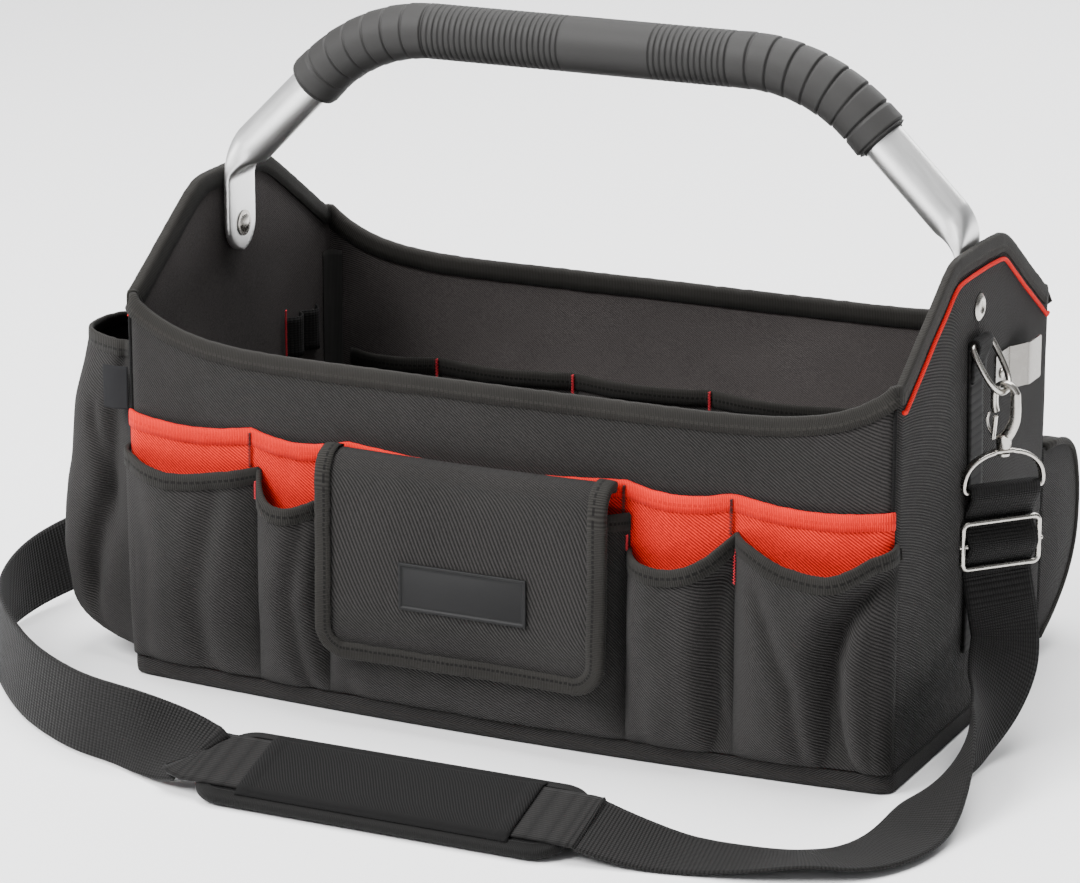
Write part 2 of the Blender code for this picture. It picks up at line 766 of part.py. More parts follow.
def build_outer_pockets():
    """The deep pocket on the left end, and the pocket with a flap on the back."""
    def end_base(y, z, out):
        return end_place(-1)(y, z, GAP + out)

    def end_top(s):
        return END_POCKET_TOP
    surface = pouch(end_base, END_POCKET_REAR, END_POCKET_FRONT, LAYER_FOOT, end_top,
                    END_POCKET_DEPTH, 10, END_POCKET_ROWS)
    build_pouch("end_pocket", surface, LAYER_FOOT, end_top, 12,
                [row[0] for row in END_POCKET_ROWS], True, "end_pocket_tape")

    def back_base(x, z, out):
        return long_place(1)(x, z, GAP + out)

    def back_top(s):
        return BACK_POCKET_TOP
    surface = pouch(back_base, BACK_POCKET_HALF, -BACK_POCKET_HALF, BACK_POCKET_FOOT, back_top,
                    BACK_POCKET_DEPTH, 60, BACK_POCKET_ROWS)
    build_pouch("back_pocket", surface, BACK_POCKET_FOOT, back_top, 12,
                [row[0] for row in BACK_POCKET_ROWS], False, "")


# The back flap, as shares of the pocket's depth and of the flap's drop below its seam
BACK_FLAP_ROWS = (
    (0.012, 0.0), (0.25, -0.026), (0.62, 0.090), (0.92, 0.256), (1.10, 0.474),
    (1.14, 0.705), (1.12, 1.0),
)


def build_back_flap():
    """Flap that comes over the back pocket."""
    last = len(BACK_FLAP_ROWS) - 1

    def surface(u, v):
        out, drop = BACK_FLAP_ROWS[last - round(v * last)]
        x = blend(BACK_FLAP_HALF, -BACK_FLAP_HALF, u)
        z = BACK_FLAP_TOP - BACK_FLAP_DROP * drop
        return long_place(1)(x, z, GAP + BACK_POCKET_DEPTH * out)
    cloth("back_flap", surface, 8, last, BACK_FLAP_CLOTH, 1, BLACK)


def inner_place(x, z, d):
    """A place d in front of the inside pockets' cloth."""
    up = max(0.0, (z - INNER_FREE) / (INNER_TOP - INNER_FREE))
    lift = INNER_LIFT * scallop(x, INNER_TACKS) * up
    return long_place(1)(x, z, -(WALL + GAP + lift + d))


def build_inner_pockets():
    """Row of pockets inside the back, and two tool loops inside the left end."""
    stations = tack_stations(INNER_TACKS, 4)
    last = len(stations) - 1

    def surface(u, v):
        x = stations[round(u * last)]
        return inner_place(x, blend(LAYER_FOOT, INNER_TOP, v), 0.0)
    cloth("inner_pockets", surface, last, 3, LAYER, 1, BLACK)

    stations_y = tack_stations(TOOL_LOOP_Y, 5)
    last_y = len(stations_y) - 1

    def loops(u, v):
        y = stations_y[round(u * last_y)]
        z = blend(TOOL_LOOP_Z[0], TOOL_LOOP_Z[1], v)
        lift = TOOL_LOOP_LIFT * scallop(y, TOOL_LOOP_Y)
        return end_place(-1)(y, z, -(WALL + GAP + lift))
    cloth("tool_loops", loops, last_y, 1, LAYER, 1, BLACK)


def handle_line():
    """Centre line of half the handle, from the middle of the grip down to the rivet."""
    foot_x = HALF - WALL - TAB_CLEAR - TAB / 2
    drop = HANDLE_HEIGHT - TAB_TOP
    slope = math.atan2(drop, foot_x - KNEE)
    knee_in = BEND * math.tan(slope / 2)
    points = [(0.0, HANDLE_HEIGHT)]
    centre = (KNEE - knee_in, HANDLE_HEIGHT - BEND)
    points += arc(centre, BEND, 90, 90 - math.degrees(slope), 5)
    turn = math.pi / 2 - slope
    foot_in = FOOT_BEND * math.tan(turn / 2)
    centre = (foot_x - FOOT_BEND, TAB_TOP - foot_in)
    points += arc(centre, FOOT_BEND, math.degrees(turn), 0, 3)
    return points, foot_x


def ring_at(point, along, wide, thick, count):
    """A ring of points round a centre line in the XZ plane."""
    across = Vector((along[1], 0.0, -along[0]))
    ring = []
    for i in range(count):
        angle = 2 * math.pi * i / count
        offset = across * (thick * math.cos(angle)) + Vector((0, wide * math.sin(angle), 0))
        ring.append(Vector((point[0], 0.0, point[1])) + offset)
    return ring


def directions(points):
    """Unit direction of a flat row of points at each of them."""
    found = []
    for i in range(len(points)):
        a = Vector(points[max(0, i - 1)])
        b = Vector(points[min(len(points) - 1, i + 1)])
        found.append((b - a).normalized())
    return found


def build_handle():
    """Tube handle with flattened ends, and the rubber grip round it."""
    half, foot_x = handle_line()
    radii = [(TUBE, TUBE)] * (len(half) - 3) + list(FLATTEN)
    for z, wide in ((PIVOT_HEIGHT + 0.008, 0.5), (PIVOT_HEIGHT, 0.5), (PIVOT_HEIGHT - 0.009, 0.42),
                    (PIVOT_HEIGHT - 0.014, 0.25), (PIVOT_HEIGHT - 0.0162, 0.09)):
        half.append((foot_x, z))
        radii.append((TAB_WIDTH * wide, TAB / 2))
    along = directions(half)
    along[0] = Vector((1, 0))
    flat_from = len(half) - 6
    for i in range(flat_from, len(half)):
        along[i] = Vector((0, -1))
    right = [ring_at(p, a, w, t, 10) for p, a, (w, t) in zip(half, along, radii)]
    left = [[Vector((-v.x, v.y, v.z)) for v in ring] for ring in right[:0:-1]]
    tube = loft("handle_tube", left + right, SATIN, roughness=0.3, metallic=1.0)
    for name, side in (("tab_hole_left", -1), ("tab_hole_right", 1)):
        cut(tube, pin_cutter(name, RIVET + HOLE_CLEAR, TAB * 2, (side * foot_x, 0.0, PIVOT_HEIGHT),
                             (1, 0, 0)))

    line = [point for point in half if point[0] < GRIP_END and point[1] > TAB_TOP]
    ends = directions(half)
    last = len(line) - 1
    step = (GRIP_END - line[last][0]) / ends[last + 1].x
    line = line + [(line[last][0] + ends[last + 1].x * step, line[last][1] + ends[last + 1].y * step)]
    bends = directions(line)
    bends[0] = Vector((1, 0))
    full = [((-p[0], p[1]), Vector((a.x, -a.y))) for p, a in zip(line[:0:-1], bends[:0:-1])]
    full += list(zip(line, bends))
    inner = TUBE + GAP * 2
    outside = [ring_at(p, a, GRIP, GRIP, 10) for p, a in full]
    inside = [ring_at(p, a, inner, inner, 10) for p, a in full]
    loft("handle_grip", outside + inside[::-1], RUBBER, closed=True, roughness=0.7)


def build_rivets():
    """Rivets that the handle turns on, each through a gable and a flattened tube end."""
    inner_face = HALF - WALL
    tab_out = inner_face - TAB_CLEAR
    tab_in = tab_out - TAB
    head = RIVET_HEAD
    profile = (
        (0.0, HALF + GAP + RIVET_CROWN), (head * 0.6, HALF + GAP + RIVET_CROWN * 0.8), (head, HALF + GAP),
        (RIVET, HALF + GAP), (RIVET, inner_face - GAP), (head * 0.8, inner_face - GAP),
        (head * 0.8, tab_out + GAP), (RIVET, tab_out + GAP), (RIVET, tab_in - GAP), (head, tab_in - GAP),
        (head * 0.6, tab_in - GAP - RIVET_CROWN * 0.8), (0.0, tab_in - GAP - RIVET_CROWN),
    )
    for name, side in (("left_rivet", -1), ("right_rivet", 1)):
        form = bmesh.new()
        line = [form.verts.new((radius, 0.0, axial)) for radius, axial in profile]
        for a, b in zip(line, line[1:]):
            form.edges.new((a, b))
        bmesh.ops.spin(form, geom=form.verts[:] + form.edges[:], cent=(0, 0, 0), axis=(0, 0, 1),
                       angle=2 * math.pi, steps=12, use_duplicate=False)
        bmesh.ops.remove_doubles(form, verts=form.verts, dist=0.00001)
        bmesh.ops.rotate(form, verts=form.verts, cent=(0, 0, 0),
                         matrix=Matrix.Rotation(side * math.pi / 2, 3, "Y"))
        bmesh.ops.recalc_face_normals(form, faces=form.faces)
        mesh = bpy.data.meshes.new(name)
        form.to_mesh(mesh)
        form.free()
        finish_mesh(mesh)
        made = add_object(name, mesh, STEEL, 0.3, 1.0)
        made.location = (0.0, 0.0, PIVOT_HEIGHT)


def ribbon(name, stations, thickness, width, colour):
    """A flat band. Each station is (centre, unit vector across)."""
    rings = []
    centres = [Vector(centre) for centre, across in stations]
    for i, (centre, across) in enumerate(stations):
        ahead = (centres[min(i + 1, len(centres) - 1)] - centres[max(i - 1, 0)]).normalized()
        across = (across - ahead * across.dot(ahead)).normalized()
        face = ahead.cross(across)
        c = centres[i]
        w = across * (width / 2)
        t = face * (thickness / 2)
        rings.append([c + w + t, c - w + t, c - w - t, c + w - t])
    return loft(name, rings, colour)


def ring_offset():
    """The ring's upper bar stands this far off the end."""
    return GAP + WEB + GAP + RING_WIRE


def hook_axis():
    """Where the lower bar of the ring lies: its distance off the end and its height."""
    drop = RING_LENGTH - 2 * RING_WIRE
    out = ring_offset() + drop * math.sin(RING_TILT)
    return out, RING_TOP - drop * math.cos(RING_TILT)


def build_end_webbing(name, side):
    """Webbing sewn down the end, with a loop at its top for the ring."""
    flat = GAP + WEB / 2
    centre = ring_offset()
    loop = RING_WIRE + GAP + WEB / 2
    path = [(flat, END_WEB_FOOT), (flat, RING_TOP - 0.002)]
    path += arc((centre, RING_TOP), loop, 180, 0, 6)
    path += [(centre + loop * 0.75, RING_TOP - 0.004), (flat + WEB + 2 * GAP, RING_TOP - 0.011),
             (flat + WEB + GAP, RING_TOP - 0.022)]
    stations = []
    for out, z in path:
        at = end_place(side)(HANG_Y, z, out)
        stations.append((at, Vector((0, 1, 0))))
    ribbon(name + "_end_webbing", stations, WEB, END_WEB, BLACK)


def build_ring(name, side):
    """Oval ring, its upper bar in the webbing loop, leaning out."""
    half = RING_WIDTH / 2 - RING_WIRE
    drop = RING_LENGTH - 2 * RING_WIRE
    flat = [(-half * 0.8, 0.0), (half * 0.8, 0.0), (half, -0.004), (half, -drop * 0.5)]
    flat += [(half * 0.86, -drop * 0.78), (half * 0.5, -drop * 0.96), (0.0, -drop)]
    flat += [(-half * 0.5, -drop * 0.96), (-half * 0.86, -drop * 0.78)]
    flat += [(-half, -drop * 0.5), (-half, -0.004)]
    points = []
    for y, z in flat:
        out = ring_offset() - z * math.sin(RING_TILT)
        points.append((side * (HALF + out), HANG_Y + y, RING_TOP + z * math.cos(RING_TILT)))
    wire(name + "_ring", points, RING_WIRE, STEEL, cyclic=True, sides=1)


def turned(side):
    """Axes of the hanging hardware: across the webbing, and out from it.

    The right strap leaves towards the front and the left one towards the rear, round its pocket.
    """
    across = Vector((math.sin(STRAP_TURN), math.cos(STRAP_TURN), 0.0)) * side
    out = Vector((math.cos(STRAP_TURN), -math.sin(STRAP_TURN), 0.0)) * side
    return across, out


def hanging_frame(side):
    """Rotation of a flat fitting that hangs with its outline's X across the webbing."""
    across = turned(side)[0]
    up = Vector((0, 0, 1))
    return Matrix((across, up, across.cross(up))).transposed().to_4x4()


def hang_point(side):
    """Top of the hanging line."""
    out, z = hook_axis()
    return Vector((side * (HALF + out), HANG_Y, z))


def build_hook(name, side):
    """Snap hook with its collar and swivel post, and its gate lever."""
    top = hang_point(side)
    centre_z = top.z + RING_WIRE + GAP + HOOK_WIRE - HOOK_BEND
    points = [(0.0, HOOK_FOOT + 0.001), (HOOK_BEND * 0.55, HOOK_FOOT + 0.006)]
    points += [(HOOK_BEND, HOOK_FOOT + 0.014)]
    points += arc((0.0, centre_z), HOOK_BEND, 0, 180, 6)
    points += [(-HOOK_BEND, centre_z - HOOK_TIP * 0.57), (-HOOK_BEND * 0.85, centre_z - HOOK_TIP)]
    line = [(top.x + side * out, top.y, z) for out, z in points]
    hook = as_mesh(wire(name + "_hook", line, HOOK_WIRE, STEEL, sides=1))

    high = HOOK_FOOT + COLLAR_TOP
    under = EYE_TOP - EYE_BAR - GAP
    profile = ((0.0, high), (COLLAR, high), (COLLAR, EYE_TOP + GAP), (SWIVEL, EYE_TOP + GAP),
               (SWIVEL, under), (POST_HEAD, under), (POST_HEAD, under - POST_HEAD_HEIGHT),
               (0.0, under - POST_HEAD_HEIGHT))
    form = bmesh.new()
    run = [form.verts.new((radius, 0.0, z)) for radius, z in profile]
    for a, b in zip(run, run[1:]):
        form.edges.new((a, b))
    bmesh.ops.spin(form, geom=form.verts[:] + form.edges[:], cent=(0, 0, 0), axis=(0, 0, 1),
                   angle=2 * math.pi, steps=10, use_duplicate=False)
    bmesh.ops.remove_doubles(form, verts=form.verts, dist=0.00001)
    bmesh.ops.recalc_face_normals(form, faces=form.faces)
    mesh = bpy.data.meshes.new(name + "_collar")
    form.to_mesh(mesh)
    form.free()
    collar = add_object(name + "_collar", mesh, STEEL, 0.3, 1.0)
    collar.location = (top.x, top.y, 0.0)
    join(hook, collar)

    pivot = gate_pivot(side)
    tip = Vector((top.x - side * HOOK_BEND * 0.85, top.y, centre_z - HOOK_TIP))
    end = tip + Vector((0, 0, -(HOOK_WIRE + 2 * GAP)))
    span = end - pivot
    lean = Vector((span.z, 0.0, -span.x)).normalized() * (GATE_THIN / 2)
    broad = Vector((0, GATE_WIDE / 2, 0))
    rings = []
    for share in (-0.25, 0.0, 0.5, 1.0):
        at = pivot + span * share
        rings.append([at + lean + broad, at - lean + broad, at - lean - broad, at + lean - broad])
    shift = [[point - pivot for point in ring] for ring in rings]
    gate = loft(name + "_gate", shift, STEEL, roughness=0.3, metallic=1.0)
    gate.location = pivot


def gate_pivot(side):
    """Axis of the gate lever, beside the collar."""
    top = hang_point(side)
    return Vector((top.x - side * GATE_SET, top.y, HOOK_FOOT + COLLAR_TOP - GAP))


def build_eye(name, side):
    """Swivel eye: an arch with a straight bar for the webbing and a hole for the post."""
    half = EYE_WIDTH / 2
    height = EYE_TOP - EYE_FOOT

    def shape(inset):
        a = half - inset
        b = height - 2 * inset
        points = [(-a * 0.94, 0.0), (a * 0.94, 0.0)]
        side_arch = []
        for i in range(4):
            angle = math.radians(22.5 * i)
            side_arch.append((a * math.cos(angle), 0.003 + (b - 0.003) * math.sin(angle) ** 0.85))
        side_arch.append((EYE_FLAT, b))
        points += side_arch + [(-x, y) for x, y in side_arch[::-1]]
        return [(x, y + inset) for x, y in points]
    eye = outline(name + "_eye", [shape(0.0), shape(EYE_BAR)], EYE_DEPTH / 2, STEEL, 0.3)
    top = hang_point(side)
    eye.matrix_world = Matrix.Translation((top.x, top.y, EYE_FOOT)) @ hanging_frame(side)
    eye = as_mesh(eye)
    cut(eye, pin_cutter(name + "_eye_hole", SWIVEL + GAP, EYE_BAR * 3, (top.x, top.y, EYE_TOP), (0, 0, 1)))


def build_slider(name, side):
    """Three-bar slider on the strap."""
    width = STRAP_WIDTH + STRAP_PLAY + 2 * SLIDER_BAR
    window_height = (SLIDER_HEIGHT - 3 * SLIDER_BAR) / 2
    window = rounded(STRAP_WIDTH + STRAP_PLAY, window_height, window_height * 0.2, 2)
    shift = (window_height + SLIDER_BAR) / 2
    splines = [rounded(width, SLIDER_HEIGHT, SLIDER_CORNER, 3)]
    for side_shift in (shift, -shift):
        splines.append([(x, y + side_shift) for x, y in window])
    slider = outline(name + "_slider", splines, SLIDER_BAR / 2, STEEL, 0.3)
    top = hang_point(side)
    slider.matrix_world = Matrix.Translation((top.x, top.y, SLIDER_CENTRE)) @ hanging_frame(side)
    as_mesh(slider)


def build_hardware():
    """Both ends carry the same webbing, ring, hook, eye and slider."""
    for name, side in (("left", -1), ("right", 1)):
        build_end_webbing(name, side)
        build_ring(name, side)
        build_hook(name, side)
        build_eye(name, side)
        build_slider(name, side)


def build_clip():
    """Bent steel clip for a tape measure, riveted to the right end."""
    low = GAP + CLIP_STEEL / 2
    high = low + CLIP_LIFT
    bend = CLIP_FRONT + CLIP_FLANGE
    end = bend + CLIP_STEP
    path = ((low, CLIP_FRONT), (low, bend), (blend(low, high, 0.8), blend(bend, end, 0.45)), (high, end),
            (high, end + CLIP_TONGUE))
    middle = CLIP_LOW + CLIP_HEIGHT / 2
    stations = []
    for out, y in path:
        stations.append((Vector((HALF + out, y, middle)), Vector((0, 0, 1))))
    ribbon("tape_clip", stations, CLIP_STEEL, CLIP_HEIGHT, STEEL)
    form = bmesh.new()
    bmesh.ops.create_cone(form, cap_ends=True, segments=12, radius1=CLIP_RIVET,
                          radius2=CLIP_RIVET * 0.75, depth=CLIP_RIVET_HIGH)
    mesh = bpy.data.meshes.new("clip_rivet")
    form.to_mesh(mesh)
    form.free()
    finish_mesh(mesh)
    stud = add_object("clip_rivet", mesh, STEEL, 0.3, 1.0)
    stud.rotation_euler = (0, math.pi / 2, 0)
    stud.location = (HALF + GAP + CLIP_STEEL + GAP + CLIP_RIVET_HIGH / 2,
                     CLIP_FRONT + CLIP_FLANGE * 0.45, middle)


# Route of the strap: x as a share of half the length, y, then its height as a lift off the
# ground and a share of the height of the slider's foot, and last the turn and the lean of its
# width in degrees. The first list runs from the right slider to the pad, the second from the
# pad to the left one.
RIGHT_ROUTE = (
    (1.0871, -0.0069, 0.0000, 0.800, 63, 0),
    (1.1080, -0.0125, 0.0000, 0.560, 61, -10),
    (1.1208, -0.0420, 0.0050, 0.320, 52, -45),
    (1.1292, -0.0720, 0.0150, 0.100, 80, -76),
    (1.1333, -0.1050, 0.0205, 0.000, 165, -58),
    (1.1375, -0.1400, 0.0125, 0.000, 185, -28),
    (1.1417, -0.1750, 0.0045, 0.000, 182, -8),
    (1.1250, -0.2050, 0.0030, 0.000, 160, -4),
    (1.0750, -0.2280, 0.0035, 0.000, 130, -6),
    (0.9917, -0.2420, 0.0050, 0.000, 108, -10),
    (0.8750, -0.2520, 0.0035, 0.000, 98, -4),
    (0.7292, -0.2600, 0.0035, 0.000, 92, 4),
    (0.6042, -0.2660, 0.0090, 0.000, 90, 12),
)
LEFT_ROUTE = (
    (-0.5625, -0.2660, 0.0190, 0.000, 90, 50),
    (-0.6875, -0.2620, 0.0225, 0.000, 85, 74),
    (-0.8542, -0.2500, 0.0228, 0.000, 76, 78),
    (-1.0417, -0.2220, 0.0228, 0.000, 58, 80),
    (-1.2167, -0.1820, 0.0228, 0.000, 44, 82),
    (-1.3625, -0.1380, 0.0228, 0.000, 26, 84),
    (-1.4458, -0.0920, 0.0232, 0.000, 8, 88),
    (-1.4667, -0.0480, 0.0240, 0.020, -12, 96),
    (-1.4250, -0.0070, 0.0230, 0.080, -42, 108),
    (-1.3333, 0.0160, 0.0190, 0.200, -80, 126),
    (-1.2292, 0.0145, 0.0110, 0.400, -106, 150),
    (-1.1417, 0.0016, 0.0000, 0.680, -117, 172),
    (-1.0875, -0.0050, 0.0000, 0.860, -117, 180),
)


def smooth_route(rows, steps):
    """Extra rows between the rows, on a smooth curve."""
    found = []
    for i in range(len(rows) - 1):
        a = rows[max(0, i - 1)]
        b = rows[i]
        c = rows[i + 1]
        d = rows[min(len(rows) - 1, i + 2)]
        for k in range(steps):
            t = k / steps
            row = []
            for p, q, r, s in zip(a, b, c, d):
                row.append(0.5 * (2 * q + (r - p) * t + (2 * p - 5 * q + 4 * r - s) * t ** 2
                                  + (3 * q - p - 3 * r + s) * t ** 3))
            found.append(tuple(row))
    return found + [rows[-1]]


def slider_route(side):
    """The strap at one end: its sewn end, round the eye, through the slider and out below."""
    across, out = turned(side)
    top = hang_point(side)
    bar_z = EYE_FOOT + EYE_BAR / 2
    near = EYE_DEPTH / 2 + 2 * GAP + STRAP / 2
    over = bar_z + EYE_BAR / 2 + 2 * GAP + STRAP / 2
    behind = SLIDER_BAR / 2 + 2 * GAP + STRAP / 2
    back = behind + STRAP + 2 * GAP
    pitch = (SLIDER_HEIGHT - SLIDER_BAR) / 2
    path = [(-back, SLIDER_CENTRE - 0.006), (-back, SLIDER_CENTRE + pitch + 0.003),
            (-near, bar_z - 0.004), (-near, bar_z + 0.0008), (-near * 0.8, over), (0.0, over + GAP),
            (near * 0.8, over), (near, bar_z + 0.0008), (near, bar_z - 0.004),
            (-behind, SLIDER_CENTRE + pitch + 0.0040), (-behind, SLIDER_CENTRE + pitch - 0.0024),
            (behind, SLIDER_CENTRE + 0.0026), (behind, SLIDER_CENTRE - 0.0026),
            (-behind, SLIDER_CENTRE - pitch + 0.0024), (-behind, SLIDER_CENTRE - pitch - 0.0030),
            (-behind, SLIDER_CENTRE - pitch - 0.0060)]
    stations = []
    for o, z in path:
        at = top + out * o
        stations.append((Vector((at.x, at.y, z)), across * side))
    return stations


def pad_axes():
    """Origin and axes of the pad: along, across and off its underside."""
    origin = Vector((PAD_CENTRE, PAD_FRONT, FLOOR_CLEAR))
    across = Vector((0, math.cos(PAD_TILT), math.sin(PAD_TILT)))
    off = Vector((0, -math.sin(PAD_TILT), math.cos(PAD_TILT)))
    return origin, across, off


def build_strap():
    """One length of webbing from end to end, through both sliders and the pad."""
    def width_vector(turn, lean):
        t = math.radians(turn)
        e = math.radians(lean)
        return Vector((math.cos(e) * math.cos(t), math.cos(e) * math.sin(t), math.sin(e)))

    slider_foot = SLIDER_CENTRE - SLIDER_HEIGHT / 2

    def placed(rows):
        return tuple((HALF * x, y, lift + rise * slider_foot, turn, lean)
                     for x, y, lift, rise, turn, lean in rows)

    def stations(rows):
        return [(Vector(row[:3]), width_vector(row[3], row[4])) for row in rows]
    origin, across, off = pad_axes()
    middle = origin + across * (PAD_WIDTH / 2) + off * (PAD + GAP + STRAP / 2)
    reach = PAD_LENGTH / 2
    lean = math.degrees(PAD_TILT)
    in_pad = [(middle.x + s * reach, middle.y, middle.z, 90, lean) for s in (1.0, 0.0, -1.0)]
    route = stations(smooth_route(placed(RIGHT_ROUTE) + (in_pad[0],), 3))
    route += stations(in_pad[1:2])
    route += stations(smooth_route((in_pad[2],) + placed(LEFT_ROUTE), 3))
    whole = slider_route(1) + route + slider_route(-1)[::-1]
    ribbon("shoulder_strap", whole, STRAP, STRAP_WIDTH, BLACK)


def build_pad():
    """Shoulder pad: a padded base under the strap and a cloth sleeve over it."""
    origin, across, off = pad_axes()
    frame = Matrix((Vector((1, 0, 0)), across, off)).transposed().to_4x4()
    base = outline("shoulder_pad", [rounded(PAD_LENGTH, PAD_WIDTH, PAD_CORNER, 5)], PAD / 2,
                   BLACK, 0.85, 0.0)
    centre = origin + across * (PAD_WIDTH / 2) + off * (PAD / 2)
    base.matrix_world = Matrix.Translation(centre) @ frame

    half = STRAP_WIDTH / 2 + STRAP_PLAY
    low = PAD + GAP
    high = PAD + GAP + STRAP + GAP
    rows = ((-half - SLEEVE_EDGE, low), (-half - 0.0008, low), (-half + 0.001, high), (0.0, high),
            (half - 0.001, high), (half + 0.0008, low), (half + SLEEVE_EDGE, low))
    reach = PAD_LENGTH / 2 - SLEEVE_INSET
    last = len(rows) - 1

    def surface(u, v):
        v_across, v_off = rows[round(v * last)]
        along = blend(-reach, reach, u)
        return origin + Vector((along, 0, 0)) + across * (PAD_WIDTH / 2 + v_across) + off * v_off
    cloth("pad_sleeve", surface, 4, last, SLEEVE, 1, BLACK)


def main():
    """Build the whole bag."""
    clear_scene()
    build_base()
    build_walls()
    build_rim_tapes()
    build_corner_tapes()
    build_red_layer()
    build_front_pockets()
    build_flap()
    build_side_label()
    build_outer_pockets()
    build_back_flap()
    build_inner_pockets()
    build_handle()
    build_rivets()
    build_hardware()
    build_clip()
    build_strap()
    build_pad()


main()
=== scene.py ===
"""An open tool bag in black woven cloth: its finish, soft shapes, stitching and metal fittings."""
import math

import bmesh
import bpy
from mathutils import Matrix, Vector, noise


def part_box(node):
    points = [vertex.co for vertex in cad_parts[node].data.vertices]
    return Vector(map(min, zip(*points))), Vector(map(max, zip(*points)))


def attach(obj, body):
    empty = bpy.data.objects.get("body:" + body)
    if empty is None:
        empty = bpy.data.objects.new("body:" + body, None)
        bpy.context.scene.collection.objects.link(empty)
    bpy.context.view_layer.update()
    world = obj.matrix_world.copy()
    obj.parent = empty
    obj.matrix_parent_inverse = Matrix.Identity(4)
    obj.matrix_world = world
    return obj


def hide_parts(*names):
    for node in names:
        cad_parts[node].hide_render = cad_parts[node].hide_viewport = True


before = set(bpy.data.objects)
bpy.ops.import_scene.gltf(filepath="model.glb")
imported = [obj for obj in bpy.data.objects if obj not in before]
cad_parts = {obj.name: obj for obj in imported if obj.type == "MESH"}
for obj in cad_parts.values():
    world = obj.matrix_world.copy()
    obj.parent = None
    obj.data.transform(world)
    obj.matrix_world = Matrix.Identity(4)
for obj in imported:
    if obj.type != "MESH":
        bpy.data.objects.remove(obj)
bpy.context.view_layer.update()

# Sizes read from the frame
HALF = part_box("right_end")[1].x
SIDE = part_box("right_end")[1].y
PANEL_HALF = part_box("front_panel")[1].x
RIM_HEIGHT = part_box("front_panel")[1].z
GABLE_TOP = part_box("right_end")[1].z
LAYER_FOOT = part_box("red_layer")[0].z
BAND_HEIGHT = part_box("base")[1].z
BAND_OUT = (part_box("base")[1].x - HALF) * 0.55
PIVOT = (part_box("right_rivet")[0].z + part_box("right_rivet")[1].z) / 2
GRIP_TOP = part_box("handle_grip")[1].z
HANG_Y = (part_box("right_ring")[0].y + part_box("right_ring")[1].y) / 2
EYE_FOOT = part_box("right_eye")[0].z
EYE_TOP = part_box("right_eye")[1].z
SLIDER_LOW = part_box("right_slider")[0].z
SLIDER_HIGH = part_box("right_slider")[1].z
RING_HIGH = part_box("right_ring")[1].z
HOOK_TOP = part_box("right_hook")[1].z
GATE_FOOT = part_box("right_gate")[0].z
SLIDER_CENTRE = (SLIDER_LOW + SLIDER_HIGH) / 2

# Cloth and seams
FLOOR_IN = 0.0043         # the walls start on the bottom board
WALL = 0.003
RIM_DIP = 0.026
PANEL_BOW = 0.010
RIM_BOW_SHARE = 0.35
CORNER = 0.008            # soft radius of the four upright corners
GAP = 0.0003
TAPE = 0.0009
RIM_TAPE = 0.0095
POCKET_TAPE = 0.0085
LAYER = 0.0012
RED_TOP = 0.1620
RED_DIP = 0.0040
RED_LIFT = 0.0030
RED_FREE = 0.0300
RED_TACKS = (-0.240, -0.155, -0.091, 0.0825, 0.1465, 0.240)
GABLE_FLAT = 0.080
GABLE_SHOULDER = 0.007
PIPING = 0.0012
PIPING_INSET = 0.0135
FLAP_CENTRE = -0.0100
FLAP_WIDTH = 0.178
FLAP_TOP = 0.1530
FLAP_BOTTOM = 0.0430
FLAP_STAND = 0.0265
FLAP_CORNER = 0.018
FLAP_CLOTH = 0.0022
TWILL = 0.0015            # distance between the diagonal ribs of the cloth

# Camera, fitted to the photograph's corners
IMAGE_WIDTH = 1080
SENSOR = 36.0
FOCAL_PIXELS = 4354.0
EYE = (1.0305, -2.2343, 0.8634)
AZIMUTH = math.radians(25.43)
ELEVATION = math.radians(16.38)


class Value:
    """A number that varies over the surface, with operators that add Math nodes."""

    def __init__(self, finish, socket):
        self.finish = finish
        self.socket = socket

    def _math(self, operation, a, b=None, clamp=False):
        inputs = [a] if b is None else [a, b]
        return self.finish.node("ShaderNodeMath", {"operation": operation, "use_clamp": clamp},
                                dict(enumerate(inputs)))

    def __add__(self, other):
        return self._math("ADD", self, other)

    __radd__ = __add__

    def __sub__(self, other):
        return self._math("SUBTRACT", self, other)

    def __rsub__(self, other):
        return self._math("SUBTRACT", other, self)

    def __mul__(self, other):
        return self._math("MULTIPLY", self, other)

    __rmul__ = __mul__

    def __truediv__(self, other):
        return self._math("DIVIDE", self, other)

    def sin(self):
        return self._math("SINE", self)

    def fract(self):
        return self._math("FRACT", self)

    def abs(self):
        return self._math("ABSOLUTE", self)

    def below(self, level):
        return self._math("LESS_THAN", self, level)

    def clamped(self):
        return self._math("ADD", self, 0.0, clamp=True)

    def power(self, exponent):
        return self._math("POWER", self, exponent)


